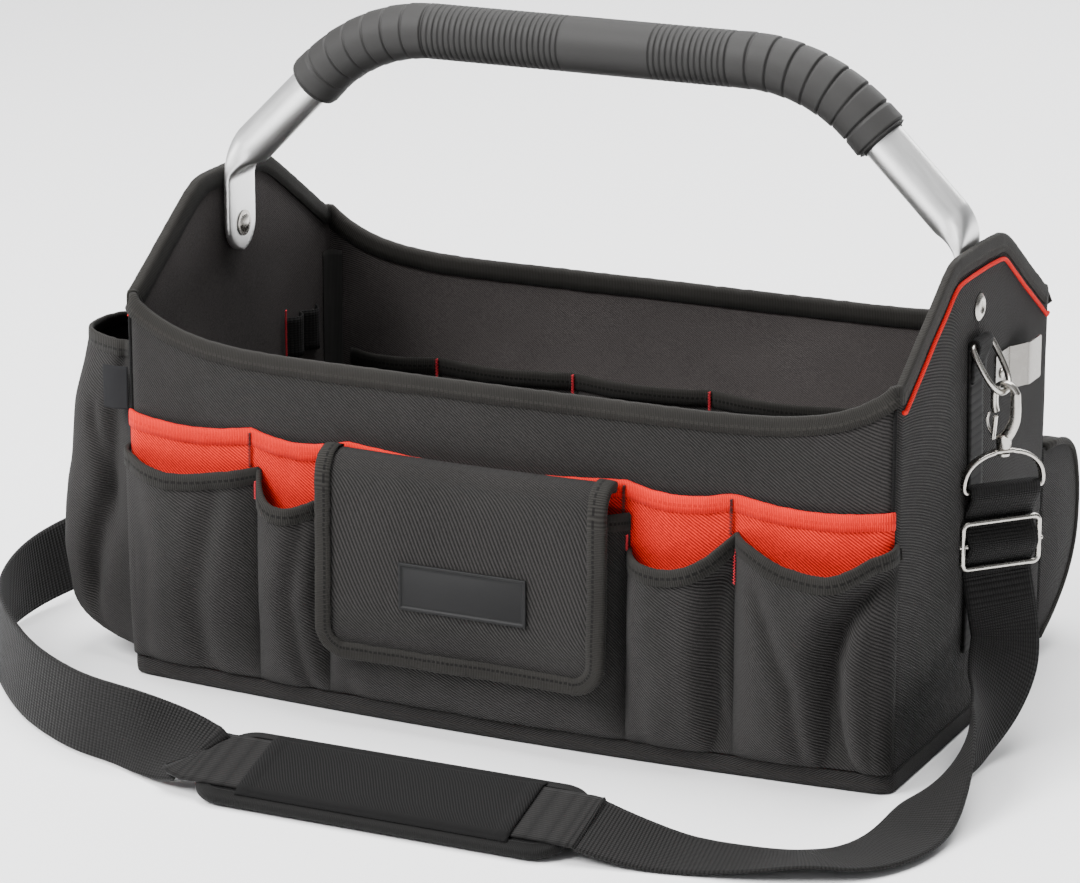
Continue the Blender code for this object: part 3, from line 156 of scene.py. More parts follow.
class Finish:
    """A material being put together."""

    def __init__(self, name, colour, roughness, metallic=0.0):
        self.material = bpy.data.materials.new(name)
        self.material.use_nodes = True
        self.tree = self.material.node_tree
        self.shader = self.tree.nodes["Principled BSDF"]
        self.shader.inputs["Base Color"].default_value = (*colour, 1.0)
        self.shader.inputs["Roughness"].default_value = roughness
        self.shader.inputs["Metallic"].default_value = metallic

    def node(self, kind, settings=None, inputs=None, output=0):
        """Add a node. Settings come first, then the values or links of its sockets."""
        made = self.tree.nodes.new(kind)
        for key, setting in (settings or {}).items():
            setattr(made, key, setting)
        for key, entry in (inputs or {}).items():
            if isinstance(entry, Value):
                self.tree.links.new(entry.socket, made.inputs[key])
            else:
                made.inputs[key].default_value = entry
        return Value(self, made.outputs[output])

    def place(self):
        """Object coordinates."""
        return self.node("ShaderNodeTexCoord", output="Object")

    def cloth_place(self):
        """The piece's own UV map, in metres."""
        return self.node("ShaderNodeUVMap", {"uv_map": "UVMap"})

    def split(self, vector):
        """The three parts of a vector."""
        made = self.tree.nodes.new("ShaderNodeSeparateXYZ")
        self.tree.links.new(vector.socket, made.inputs[0])
        return [Value(self, socket) for socket in made.outputs]

    def noise(self, vector, scale, detail=3.0, roughness=0.5):
        return self.node("ShaderNodeTexNoise", {}, {"Vector": vector, "Scale": scale, "Detail": detail,
                                                    "Roughness": roughness})

    def stretch(self, vector, factors):
        return self.node("ShaderNodeVectorMath", {"operation": "MULTIPLY"}, {0: vector, 1: factors})

    def mix(self, share, a, b):
        """Mix two colours."""
        made = self.tree.nodes.new("ShaderNodeMix")
        made.data_type = "RGBA"
        for key, entry in (("Factor", share), ("A", a), ("B", b)):
            index = {"Factor": 0, "A": 6, "B": 7}[key]
            if isinstance(entry, Value):
                self.tree.links.new(entry.socket, made.inputs[index])
            elif key == "Factor":
                made.inputs[index].default_value = entry
            else:
                made.inputs[index].default_value = (*entry, 1.0)
        return Value(self, made.outputs[2])

    def set(self, name, value):
        self.tree.links.new(value.socket, self.shader.inputs[name])

    def bump(self, height, distance, strength=1.0):
        made = self.node("ShaderNodeBump", {}, {"Height": height, "Distance": distance,
                                                "Strength": strength})
        self.set("Normal", made)


def shade(colour, factor):
    """A colour made darker or lighter."""
    return tuple(min(1.0, channel * factor) for channel in colour)


def sheen(finish, amount, tint):
    """Soft fibre sheen, the same all over."""
    finish.shader.inputs["Specular IOR Level"].default_value = 0.18
    finish.shader.inputs["Sheen Weight"].default_value = amount
    finish.shader.inputs["Sheen Roughness"].default_value = 0.45
    finish.shader.inputs["Sheen Tint"].default_value = (*tint, 1.0)


def woven_cloth(name, colour, pitch=TWILL, relief=0.0006, soft=0.03):
    """Coarse woven cloth: diagonal ribs crossed by yarns, a little uneven."""
    made = Finish(name, colour, 0.86)
    u, v, _ = made.split(made.cloth_place())
    place = made.place()
    drift = made.noise(place, 60.0, 2.0) * 0.9
    rib = ((u * 0.62 + v * 0.78) * (2 * math.pi / pitch) + drift).sin() * 0.5 + 0.5
    yarn = ((u * 0.78 - v * 0.62) * (2 * math.pi / (pitch * 0.52))).sin() * 0.5 + 0.5
    weave = rib * 0.75 + yarn * rib * 0.25
    cloud = made.noise(place, 9.0, 3.0)
    fleck = made.noise(place, 900.0, 1.0)
    tone = (weave * 0.8 + fleck * 0.5 + cloud * 0.35 - 0.33).clamped()
    made.set("Base Color", made.mix(tone, shade(colour, 0.28), shade(colour, 2.5)))
    made.set("Roughness", 0.95 - weave * 0.18)
    made.bump(weave + fleck * 0.25, relief)
    sheen(made, soft, (0.9, 0.9, 0.9))
    return made.material


def ribbed_tape(name, colour, width, stitch_at=None, stitch_colour=None):
    """Binding tape: fine ribs across it and a row of stitches along it.

    U runs along the tape and V across it, both in metres.
    """
    made = Finish(name, colour, 0.85)
    u, v, _ = made.split(made.cloth_place())
    place = made.place()
    rib = (u * (2 * math.pi / 0.00105) + made.noise(place, 90.0, 1.0) * 2.0).sin() * 0.5 + 0.5
    edge = ((v - width * 0.5).abs() / (width * 0.5)).power(6.0)
    cloud = made.noise(place, 14.0, 3.0)
    tone = (rib * 0.55 + cloud * 0.6 - 0.15).clamped()
    base = made.mix(tone, shade(colour, 0.50), shade(colour, 1.70))
    height = rib * 0.6 - edge * 0.5
    if stitch_at is not None:
        band = ((v - stitch_at).abs()).below(0.00038)
        dash = (u / 0.0030).fract().below(0.72)
        thread = band * dash
        base = made.mix(thread, base, stitch_colour or shade(colour, 1.5))
        groove = ((v - stitch_at).abs()).below(0.0008)
        height = height - groove * 0.9 + thread * 1.0
    made.set("Base Color", base)
    made.set("Roughness", 0.92 - rib * 0.15)
    made.bump(height, 0.0003)
    sheen(made, 0.03, (0.9, 0.9, 0.9))
    return made.material


def webbing(name, colour, width):
    """Strap webbing: rounded ribs across it, woven in fine picks. U runs along it, V across."""
    made = Finish(name, colour, 0.8)
    u, v, _ = made.split(made.cloth_place())
    place = made.place()
    rib = (u * (math.pi / 0.0024)).sin().abs()
    pick = (v * (2 * math.pi / 0.0016)).sin() * 0.5 + 0.5
    edge = ((v - width * 0.5).abs() / (width * 0.5)).power(14.0)
    cloud = made.noise(place, 11.0, 3.0)
    tone = (pick * rib * 0.6 + rib * 0.2 + cloud * 0.5 - 0.2).clamped()
    made.set("Base Color", made.mix(tone, shade(colour, 0.45), shade(colour, 1.75)))
    made.set("Roughness", 0.88 - pick * 0.2)
    made.bump(rib * 0.8 + pick * 0.4 - edge * 0.6, 0.0005)
    sheen(made, 0.03, (0.9, 0.9, 0.9))
    return made.material


def plated_steel(name, depth):
    """Nickel plated steel with faint polishing marks and dull specks."""
    # depth scales the colour; at 0.52, on the clip, it is painted shade.
    made = Finish(name, shade((0.45, 0.43, 0.40), depth), 0.25, 1.0)
    place = made.place()
    cloud = made.noise(place, 160.0, 3.0)
    specks = made.noise(place, 1400.0, 2.0)
    made.set("Roughness", cloud * 0.16 + specks * 0.10 + 0.13)
    made.set("Base Color", made.mix(cloud, shade((0.38, 0.36, 0.33), depth),
                                    shade((0.58, 0.56, 0.52), depth)))
    made.bump(cloud + specks * 0.3, 0.00002)
    return made.material


def satin_tube():
    """Satin aluminium tube, brushed round its length."""
    made = Finish("satin_aluminium", (0.86, 0.86, 0.85), 0.36, 1.0)
    place = made.place()
    brushed = made.noise(made.stretch(place, (60.0, 900.0, 60.0)), 1.0, 4.0, 0.6)
    cloud = made.noise(place, 25.0, 2.0)
    made.set("Roughness", brushed * 0.14 + cloud * 0.10 + 0.26)
    made.set("Base Color", made.mix(brushed, (0.90, 0.90, 0.89), (0.97, 0.97, 0.96)))
    made.bump(brushed, 0.00003)
    return made.material


def moulded_rubber(name, colour, roughness=0.62):
    """Moulded rubber with a fine grain."""
    made = Finish(name, colour, roughness)
    place = made.place()
    made.shader.inputs["Specular IOR Level"].default_value = 0.3
    grain = made.noise(place, 1500.0, 2.0)
    cloud = made.noise(place, 18.0, 3.0)
    made.set("Base Color", made.mix(cloud, shade(colour, 0.80), shade(colour, 1.25)))
    made.set("Roughness", grain * 0.12 + cloud * 0.10 + roughness - 0.10)
    made.bump(grain, 0.00008)
    return made.material


def label_weave(name, colour):
    """Fine satin label weave."""
    made = Finish(name, colour, 0.8)
    made.shader.inputs["Specular IOR Level"].default_value = 0.15
    _, _, z = made.split(made.place())
    thread = (z * (2 * math.pi / 0.0005)).sin() * 0.5 + 0.5
    made.set("Base Color", made.mix(thread, shade(colour, 0.7), shade(colour, 1.4)))
    made.set("Roughness", thread * 0.1 + 0.75)
    made.bump(thread, 0.0001)
    return made.material


BLACK_CLOTH = (0.0150, 0.0139, 0.0134)
BLACK_TAPE = (0.0155, 0.0144, 0.0128)
RED_CLOTH = (0.68, 0.008, 0.003)
BODY = woven_cloth("black_woven_cloth", BLACK_CLOTH)
# Painted light: the inner pocket cloth is the black cloth made 1.5 times lighter, standing in for light
# inside the bag.
INSIDE_PAINTED_LIGHT = woven_cloth("inside_cloth_painted_light", shade(BLACK_CLOTH, 1.5), TWILL * 0.8, 0.0002)
# Painted light: the inner side of the walls is about 2.5 times lighter than the black cloth, standing in
# for light on the inside walls.
INNER_SIDE_PAINTED_LIGHT = woven_cloth("inner_side_painted_light", (0.038, 0.0335, 0.0325), TWILL * 0.6, 0.00012)
RED = woven_cloth("red_woven_cloth", RED_CLOTH, TWILL, 0.0004, 0.02)
BIND = ribbed_tape("black_binding", BLACK_TAPE, 2 * RIM_TAPE + 0.006, RIM_TAPE * 0.22)
POCKET_BIND = ribbed_tape("pocket_binding", BLACK_TAPE, POCKET_TAPE + 0.004, POCKET_TAPE * 0.2,
                          shade(BLACK_TAPE, 0.3))
RED_BIND = ribbed_tape("red_hem", RED_CLOTH, POCKET_TAPE + 0.004, POCKET_TAPE * 0.2,
                       shade(RED_CLOTH, 0.8))
WEBBING = webbing("black_webbing", (0.0070, 0.0066, 0.0064), 0.044)
STEEL = plated_steel("nickel_plated_steel", 1.0)
# Painted shade: the clip's steel is the plated steel at about half its colour, darkened to stand in for
# dark reflections that the even white surroundings lack.
CLIP_STEEL_PAINTED_SHADE = plated_steel("clip_steel_painted_shade", 0.52)
TUBE_METAL = satin_tube()
GRIP_RUBBER = moulded_rubber("grip_rubber", (0.021, 0.0203, 0.0196))
LABEL_RUBBER = moulded_rubber("label_rubber", (0.0045, 0.0045, 0.0047), 0.6)
PAD_CLOTH = woven_cloth("pad_cloth", (0.0026, 0.0025, 0.0025), 0.0011, 0.0002, 0.01)
PAD_BIND = ribbed_tape("pad_binding", (0.0048, 0.0046, 0.0044), 0.014)
LABEL_CLOTH = label_weave("label_weave", (0.012, 0.012, 0.013))
PIPING_RED = ribbed_tape("red_piping_cloth", (0.58, 0.006, 0.003), 0.0075)
# Painted shade: the corner welts are near black, far darker than the other black tape, standing in for the
# shade of the seam groove at each corner.
CORNER_WELT_PAINTED_SHADE = ribbed_tape("corner_welt_painted_shade", (0.0022, 0.0020, 0.0020), 0.0080)
THREAD_BLACK = Finish("black_thread", (0.022, 0.016, 0.015), 0.7).material
THREAD_RED = Finish("red_thread", (0.62, 0.02, 0.035), 0.65).material


def deselect():
    """Nothing is selected, so that an operator acts on the new piece alone."""
    for item in bpy.context.selected_objects:
        item.select_set(False)


def apply_modifiers(piece):
    """Apply a piece's modifiers in their order."""
    deselect()
    bpy.context.view_layer.objects.active = piece
    piece.select_set(True)
    for modifier in list(piece.modifiers):
        bpy.ops.object.modifier_apply(modifier=modifier.name)


def lengths(piece, columns, rows):
    """Mean length of a grid's two directions, in metres."""
    points = piece.data.vertices
    wide = columns + 1
    row = rows // 2 * wide
    along = sum((points[row + i + 1].co - points[row + i].co).length for i in range(columns))
    column = columns // 2
    up = sum((points[(j + 1) * wide + column].co - points[j * wide + column].co).length
             for j in range(rows))
    return along, up


def grid(name, surface, columns, rows, finish, thickness=0.0, offset=1.0, round_u=False,
         round_v=False, caps=False):
    """A quad grid laid on surface(u, v), with UVs in metres, and given a thickness.

    round_u and round_v close it on itself, and caps fills the ends of a tube.
    """
    deselect()
    bpy.ops.mesh.primitive_grid_add(x_subdivisions=columns, y_subdivisions=rows, size=1.0)
    piece = bpy.context.active_object
    piece.name = name
    piece.data.name = name
    for vertex in piece.data.vertices:
        vertex.co = surface(vertex.co.x + 0.5, vertex.co.y + 0.5)
    along, up = lengths(piece, columns, rows)
    for entry in piece.data.uv_layers[0].data:
        entry.uv = (entry.uv[0] * along, entry.uv[1] * up)
    piece.data.uv_layers[0].name = "UVMap"
    if round_u or round_v or caps:
        form = bmesh.new()
        form.from_mesh(piece.data)
        bmesh.ops.remove_doubles(form, verts=form.verts, dist=0.000001)
        if caps:
            bmesh.ops.holes_fill(form, edges=form.edges, sides=0)
        bmesh.ops.recalc_face_normals(form, faces=form.faces)
        form.to_mesh(piece.data)
        form.free()
    if thickness:
        solid = piece.modifiers.new("Thickness", "SOLIDIFY")
        solid.thickness = thickness
        solid.offset = offset
        solid.use_even_offset = False
        apply_modifiers(piece)
    piece.data.shade_smooth()
    piece.data.materials.clear()
    piece.data.materials.append(finish)
    return piece


def sharpen(piece, angle=35.0):
    """Smooth shading, with sharp edges past an angle."""
    piece.data.set_sharp_from_angle(angle=math.radians(angle))


def carry(piece, body, slot, *nodes):
    """The piece rides on a body and stands for CAD nodes. The slot argument is not used."""
    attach(piece, body)
    if nodes:
        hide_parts(*nodes)
    return piece


def blend(low, high, share):
    """A value between two others."""
    return low + (high - low) * share


def ease(share):
    """0 to 1 with soft ends."""
    share = min(1.0, max(0.0, share))
    return share * share * (3 - 2 * share)


def curve_table(rows, share):
    """Read a short table of (share, value) rows on a smooth curve."""
    last = len(rows) - 1
    for i in range(last):
        if share <= rows[i + 1][0] or i == last - 1:
            s0, v0 = rows[i]
            s1, v1 = rows[i + 1]
            before = rows[max(0, i - 1)]
            after = rows[min(last, i + 2)]
            m0 = (v1 - before[1]) / max(1e-9, s1 - before[0])
            m1 = (after[1] - v0) / max(1e-9, after[0] - s0)
            t = min(1.0, max(0.0, (share - s0) / (s1 - s0)))
            h = s1 - s0
            a = 2 * t ** 3 - 3 * t ** 2 + 1
            b = t ** 3 - 2 * t ** 2 + t
            return a * v0 + b * h * m0 + (1 - a) * v1 + (t ** 3 - t ** 2) * h * m1
    return rows[-1][1]


def numbered(rows, column):
    """A column of a table against its row numbers, as rows for curve_table."""
    return tuple((i, row[column]) for i, row in enumerate(rows))


def crumple(x, y, z, amount, wave=0.045, seed=0.0):
    """A soft uneven offset, the same on every run."""
    at = Vector((x / wave + seed, y / wave - seed, z / wave + seed * 2))
    fine = at * 2.7
    return amount * (noise.noise(at) + 0.35 * noise.noise(fine))


def groove(x, z, path, width, depth):
    """Depth of a soft crease that follows a row of (x, z) points."""
    best = 1.0
    for (x0, z0), (x1, z1) in zip(path, path[1:]):
        run = Vector((x1 - x0, z1 - z0))
        share = min(1.0, max(0.0, Vector((x - x0, z - z0)).dot(run) / run.length_squared))
        near = Vector((x0, z0)) + run * share
        best = min(best, math.hypot(x - near.x, z - near.y))
    return depth * math.exp(-(best / width) ** 2)


def scallop(x, tacks):
    """0 on each tack and 1 halfway between two tacks."""
    for a, b in zip(tacks, tacks[1:]):
        if x <= b:
            return math.sin(math.pi * max(0.0, (x - a) / (b - a)))
    return 0.0


def rim_height(x):
    """Height of the long rims."""
    share = min(1.0, abs(x) / PANEL_HALF)
    return RIM_HEIGHT - RIM_DIP * (1 - share ** 8)


def bow(x, z):
    """Bulge of the long walls."""
    along = max(0.0, 1 - (x / PANEL_HALF) ** 2)
    return PANEL_BOW * along * blend(1.0, RIM_BOW_SHARE, z / RIM_HEIGHT)


def gable_height(y):
    """Height of the ends."""
    reach = SIDE - GABLE_SHOULDER - GABLE_FLAT / 2
    t = max(0.0, (SIDE - GABLE_SHOULDER - abs(y)) / reach)
    soft = 0.10
    level = (t + 1 - math.sqrt((t - 1) ** 2 + soft ** 2)) / 2
    base = (1 - math.sqrt(1 + soft ** 2)) / 2
    return RIM_HEIGHT + (GABLE_TOP - RIM_HEIGHT) * (level - base) * (1 if t > 0 else 0)


def long_wall(side):
    """point(s, z, d) on the front (side -1) or back (side 1). s is a length from the middle."""
    straight = HALF - CORNER

    def point(s, z, d):
        if abs(s) <= straight:
            out = SIDE + bow(s, z) + crumple(s, side, z, 0.0007) + d
            return Vector((s, side * out, z))
        angle = (abs(s) - straight) / CORNER
        radius = CORNER + d
        x = straight + radius * math.sin(angle)
        y = SIDE - CORNER + radius * math.cos(angle) + bow(straight, z) * (1 - ease(angle / 0.8))
        return Vector((math.copysign(x, s), side * y, z))
    return point


def end_wall(side):
    """point(s, z, d) on the left (side -1) or the right end (side 1)."""
    straight = SIDE - CORNER

    def point(s, z, d):
        if abs(s) <= straight:
            swell = 0.0016 * math.cos(s / SIDE * math.pi / 2) * math.sin(math.pi * min(1.0, z / RIM_HEIGHT))
            out = HALF + swell + crumple(side, s, z, 0.0006, 0.05, 3.0) + d
            return Vector((side * out, s, z))
        angle = (abs(s) - straight) / CORNER
        radius = CORNER + d
        y = straight + radius * math.sin(angle)
        x = HALF - CORNER + radius * math.cos(angle)
        return Vector((side * x, math.copysign(y, s), z))
    return point


LONG_REACH = HALF - CORNER + CORNER * math.pi / 4
END_REACH = SIDE - CORNER + CORNER * math.pi / 4
LONG_QUADS = (150, 44)    # along and up a long wall
END_QUADS = (84, 56)


def bound_edge(name, edge, columns, width_out, width_in, half_cloth, finish):
    """Tape folded over an edge. edge(t) gives the edge point, the way in and the way out.

    width_out and width_in are its widths on the outer and the inner face of the cloth.
    """
    top = half_cloth + TAPE
    section = [(width_out, top), (width_out * 0.5, top + 0.0001), (0.0012, top)]
    for i in range(1, 6):
        angle = math.pi * i / 6
        section.append((-math.sin(angle) * 0.0013, math.cos(angle) * top))
    section += [(0.0012, -top), (width_in * 0.5, -top - 0.0001), (width_in, -top)]
    rows = len(section) - 1

    def surface(u, v):
        at, inward, out = edge(u)
        e, d = section[round(v * rows)]
        wave = 0.00035 * noise.noise(Vector((u * columns * 0.35, e * 60, 7.0)))
        return at + inward * (e + wave) + out * (d + math.copysign(wave * 0.6, d))
    return grid(name, surface, columns, rows, finish, TAPE, -1.0)


def wall_edge(point, height, reach):
    """edge(t) along the top of a wall."""
    def edge(t):
        s = blend(-reach, reach, t)
        step = 0.0008
        z = height(s)
        mid = -WALL / 2
        at = point(s, z, mid)
        along = point(s + step, height(s + step), mid) - point(s - step, height(s - step), mid)
        down = point(s, z - step, mid) - at
        out = point(s, z, 0.0) - point(s, z, -WALL)
        out.normalize()
        along.normalize()
        down = (down - along * down.dot(along)).normalized()
        return at, down, out
    return edge


def line_inside(wall, faces):
    """Give the inner side of a wall a lighter copy of the cloth, painted light standing in for light inside
    the bag. The outer faces come first.
    """
    wall.data.materials.append(INNER_SIDE_PAINTED_LIGHT)
    for face in wall.data.polygons[faces:]:
        face.material_index = 1


def build_walls():
    """Front, back and the two gabled ends, each with its binding."""
    for name, side in (("front", -1), ("back", 1)):
        point = long_wall(side)

        def surface(u, v, side=side, point=point):
            s = blend(-LONG_REACH, LONG_REACH, u) * -side
            return point(s, blend(FLOOR_IN, rim_height(s) - 0.0004, v), 0.0)
        wall = grid(name + "_wall", surface, *LONG_QUADS, BODY, WALL, -1.0)
        line_inside(wall, math.prod(LONG_QUADS))
        carry(wall, "bag", "body_cloth", name + "_panel")
        tape = bound_edge(name + "_rim_binding", wall_edge(point, rim_height, LONG_REACH), 240,
                          RIM_TAPE, RIM_TAPE, WALL / 2, BIND)
        carry(tape, "bag", "binding", name + "_rim_tape")
    for name, side in (("left", -1), ("right", 1)):
        point = end_wall(side)

        def surface(u, v, side=side, point=point):
            s = blend(-END_REACH, END_REACH, u) * side
            return point(s, blend(FLOOR_IN, gable_height(s) - 0.0004, v), 0.0)
        wall = grid(name + "_end_wall", surface, *END_QUADS, BODY, WALL, -1.0)
        line_inside(wall, math.prod(END_QUADS))
        carry(wall, "bag", "body_cloth", name + "_end")
        tape = bound_edge(name + "_gable_binding", wall_edge(point, gable_height, END_REACH), 150,
                          RIM_TAPE, RIM_TAPE, WALL / 2, BIND)
        carry(tape, "bag", "binding", name + "_gable_tape")
        build_piping(name, point)


def build_welts():
    """Sewn welts up the four corners, near black: the welt's own black with painted shade of the seam
    groove.
    """
    for name, sx, sy in (("left_front", -1, -1), ("right_front", 1, -1), ("left_back", -1, 1),
                         ("right_back", 1, 1)):
        def line(t, sx=sx, sy=sy):
            wave = 0.0003 * noise.noise(Vector((t * 9, sx, sy)))
            reach = CORNER * math.sqrt(0.5) + 0.0002 + wave
            return Vector((sx * (HALF - CORNER + reach), sy * (SIDE - CORNER + reach),
                           blend(BAND_HEIGHT, RIM_HEIGHT - RIM_TAPE, t)))
        carry(tube(name + "_corner_welt", line, 60, 0.0011, 10, CORNER_WELT_PAINTED_SHADE), "bag", "binding")


def build_piping(name, point):
    """Red piping below the binding of a gable."""
    def at(t):
        s = blend(0.0065 - SIDE, SIDE - 0.0065, t)
        step = 0.002
        slope = (gable_height(s + step) - gable_height(s - step)) / (2 * step)
        z = gable_height(s) - PIPING_INSET * math.sqrt(1 + min(1.0, slope * slope))
        return point(s, z, PIPING * 0.9)
    cord = tube(name + "_red_piping", at, 160, PIPING, 12, PIPING_RED)
    carry(cord, "bag", "red_piping", name + "_piping")


def tube(name, line, columns, radius, sides, finish):
    """A round tube along line(t)."""
    points = [line(i / columns) for i in range(columns + 1)]
    tangents = []
    for i in range(columns + 1):
        ahead = points[min(columns, i + 1)] - points[max(0, i - 1)]
        tangents.append(ahead.normalized())
    up = Vector((0, 1, 0)) if abs(tangents[0].y) < 0.9 else Vector((0, 0, 1))
    ups = []
    for tangent in tangents:
        up = (up - tangent * up.dot(tangent)).normalized()
        ups.append(up)

    def surface(u, v):
        i = round(u * columns)
        angle = -2 * math.pi * v
        across = ups[i].cross(tangents[i])
        return points[i] + ups[i] * (radius * math.cos(angle)) + across * (radius * math.sin(angle))
    return grid(name, surface, columns, sides, finish, round_v=True, caps=True)


def red_lift(x, z):
    """How far the red layer stands off the front."""
    up = max(0.0, (z - RED_FREE) / (RED_TOP - RED_FREE))
    return RED_LIFT * scallop(x, RED_TACKS) * up


def red_top(x):
    """Mouth of the red layer."""
    return RED_TOP - RED_DIP * scallop(x, RED_TACKS)


FRONT = long_wall(-1)


def red_point(x, z, d):
    """A place d outside the inner face of the red layer."""
    fold = crumple(x, 5.0, z, 0.0008, 0.022, 5.0) * ease((z - 0.10) / 0.05) * scallop(x, RED_TACKS)
    return FRONT(x, z, GAP + red_lift(x, z) + fold + d)


def zigzag(t, steps):
    """-1 and 1 in turn, for the stitches of a bar tack."""
    return -1 if round(t * steps) % 2 else 1


def build_red_layer():
    """Red cloth across the front, with its hem and black bar tacks."""
    reach = HALF - 0.0012

    def surface(u, v):
        x = blend(-reach, reach, u)
        return red_point(x, blend(LAYER_FOOT, red_top(x) - 0.0003, v), 0.0)
    layer = grid("red_cloth_layer", surface, 190, 48, RED, LAYER, 1.0)
    carry(layer, "bag", "red_cloth", "red_layer")

    def edge(t):
        x = blend(-reach, reach, t)
        at = red_point(x, red_top(x), LAYER / 2)
        down = (red_point(x, red_top(x) - 0.001, LAYER / 2) - at).normalized()
        out = (red_point(x, red_top(x), LAYER) - at).normalized()
        return at, down, out
    hem = bound_edge("red_cloth_hem", edge, 200, POCKET_TAPE, 0.0010, LAYER / 2, RED_BIND)
    carry(hem, "bag", "red_cloth", "red_layer_tape")
    for i, x in enumerate(RED_TACKS[1:-1]):
        def line(t, x=x):
            z = blend(RED_TOP - 0.0015, RED_TOP - 0.0215, t)
            return red_point(x + 0.0009 * zigzag(t, 44), z, LAYER + TAPE + 0.0007)
        carry(tube("black_bar_tack_%d" % i, line, 44, 0.00042, 6, THREAD_BLACK), "bag", "binding")


# A pocket's bulge, as shares of its height and of its depth
POUCH_ROWS = ((0.0, 0.10), (0.08, 0.50), (0.3, 0.85), (0.6, 1.0), (1.0, 0.92))

# name, left seam, right seam, depth, squareness, height of the mouth across it
FRONT_POCKETS = (
    ("left_wide", -0.2400, -0.1490, 0.0135, 3.4,
     ((0.0, 0.1405), (0.22, 0.1345), (0.45, 0.1325), (0.75, 0.1365), (1.0, 0.1400))),
    ("left_narrow", -0.1490, -0.1020, 0.0175, 3.0,
     ((0.0, 0.1395), (0.12, 0.1320), (0.30, 0.1250), (0.60, 0.1235), (1.0, 0.1300))),
    ("middle", -0.1020, 0.0860, 0.0130, 12, ((0.0, 0.1440), (1.0, 0.1440))),
    ("right_narrow", 0.0860, 0.1500, 0.0185, 4.2,
     ((0.0, 0.1240), (0.20, 0.1210), (0.50, 0.1205), (0.78, 0.1275), (1.0, 0.1405))),
    ("right_wide", 0.1500, 0.2400, 0.0180, 4.2,
     ((0.0, 0.1410), (0.15, 0.1385), (0.40, 0.1300), (0.70, 0.1285), (1.0, 0.1440))),
)

# Soft creases in the pockets: pocket, points as (share across, height), width, depth
CREASES = (
    ("left_wide", ((0.62, 0.012), (0.58, 0.060), (0.74, 0.125)), 0.0085, 0.0042),
    ("left_wide", ((0.12, 0.014), (0.20, 0.070), (0.12, 0.120)), 0.0070, 0.0026),
    ("left_narrow", ((0.74, 0.012), (0.60, 0.070), (0.76, 0.118)), 0.0060, 0.0036),
    ("middle", ((0.06, 0.012), (0.10, 0.060)), 0.0090, 0.0030),
    ("right_narrow", ((0.93, 0.008), (0.88, 0.060), (0.92, 0.116)), 0.0078, 0.0130),
    ("right_narrow", ((0.16, 0.012), (0.22, 0.060)), 0.0060, 0.0020),
    ("right_wide", ((0.70, 0.004), (0.668, 0.030), (0.655, 0.055), (0.668, 0.078), (0.72, 0.097),
                    (0.81, 0.112), (0.90, 0.121), (0.98, 0.127)), 0.0085, 0.0175),
    ("right_wide", ((0.20, 0.112), (0.42, 0.060), (0.46, 0.020)), 0.0060, 0.0034),
)
SEAM_INSET = 0.0001


def pouch_point(spec):
    """point(s, z, d) of a front pocket. s runs from one seam to the other."""
    name, left, right, depth, square, mouth = spec
    creases = [entry for entry in CREASES if entry[0] == name]

    def top(s):
        return curve_table(mouth, min(1.0, max(0.0, s)))

    def point(s, z, d):
        t = 2 * s - 1
        share = curve_table(POUCH_ROWS, (z - LAYER_FOOT) / (top(s) - LAYER_FOOT))
        x = blend(left + SEAM_INSET, right - SEAM_INSET, s)
        out = depth * share * max(0.0, 1 - abs(t) ** square)
        free = max(0.0, 1 - abs(t) ** square)
        for _, path, width, deep in creases:
            line = [(blend(left, right, a), b) for a, b in path]
            out -= groove(x, z, line, width, deep) * free
        out += crumple(x, 2.0, z, 0.0012, 0.030, depth * 400) * free
        return red_point(x, z, LAYER + GAP + max(0.0, out) + d)
    return point, top


def crowd(share):
    """Spread 0..1 so that the steps close up towards both ends."""
    s = 2 * share - 1
    return (1.5 * s - 0.5 * s ** 3) / 2 + 0.5


def build_front_pockets():
    """The five black pockets and the tape on their mouths."""
    for spec in FRONT_POCKETS:
        name = spec[0]
        point, top = pouch_point(spec)

        def surface(u, v, point=point, top=top):
            s = crowd(u)
            return point(s, blend(LAYER_FOOT, top(s) - 0.0003, v), 0.0)
        columns = 96 if name == "middle" else 64
        cloth = grid(name + "_pocket_cloth", surface, columns, 52, BODY, LAYER, 1.0)
        carry(cloth, "bag", "body_cloth", "pocket_" + name)

        def edge(t, point=point, top=top):
            s = crowd(t)
            at = point(s, top(s), LAYER / 2)
            step = 0.002
            along = point(s + step, top(s + step), LAYER / 2) - point(s - step, top(s - step), LAYER / 2)
            along.normalize()
            down = point(s, top(s) - 0.001, LAYER / 2) - at
            down = (down - along * down.dot(along)).normalized()
            out = along.cross(-down).normalized()
            return at, down, out
        tape = bound_edge(name + "_pocket_binding", edge, columns, POCKET_TAPE, 0.0012, LAYER / 2,
                          POCKET_BIND)
        if name == "middle":
            carry(tape, "bag", "binding")
        else:
            carry(tape, "bag", "binding", "pocket_" + name + "_tape")
    for x, high, drop in ((-0.1500, 0.1330, 0.0105), (0.1500, 0.1330, 0.0200), (0.0860, 0.1330, 0.0090)):
        def line(t, x=x, high=high, drop=drop):
            z = blend(high, high - drop, t)
            return red_point(x + 0.0006 * zigzag(t, 24), z, 2 * LAYER + TAPE + 0.0018)
        tack = tube("red_bar_tack_%d" % round(x * 1000), line, 24, 0.00048, 6, THREAD_RED)
        carry(tack, "bag", "red_piping")


# The hanging flap, as shares of its stand-off and heights below its seam
FLAP_ROWS = (
    (0.06, -0.0046), (0.26, -0.0074), (0.56, -0.0072), (0.84, -0.0030), (1.00, 0.0085),
    (1.00, 0.0450), (1.00, 0.0800), (1.00, 0.0960), (1.00, 0.1060), (1.00, 0.1110), (1.00, 0.1130),
)
FLAP_OUTS = numbered(FLAP_ROWS, 0)
FLAP_DROPS = numbered(FLAP_ROWS, 1)


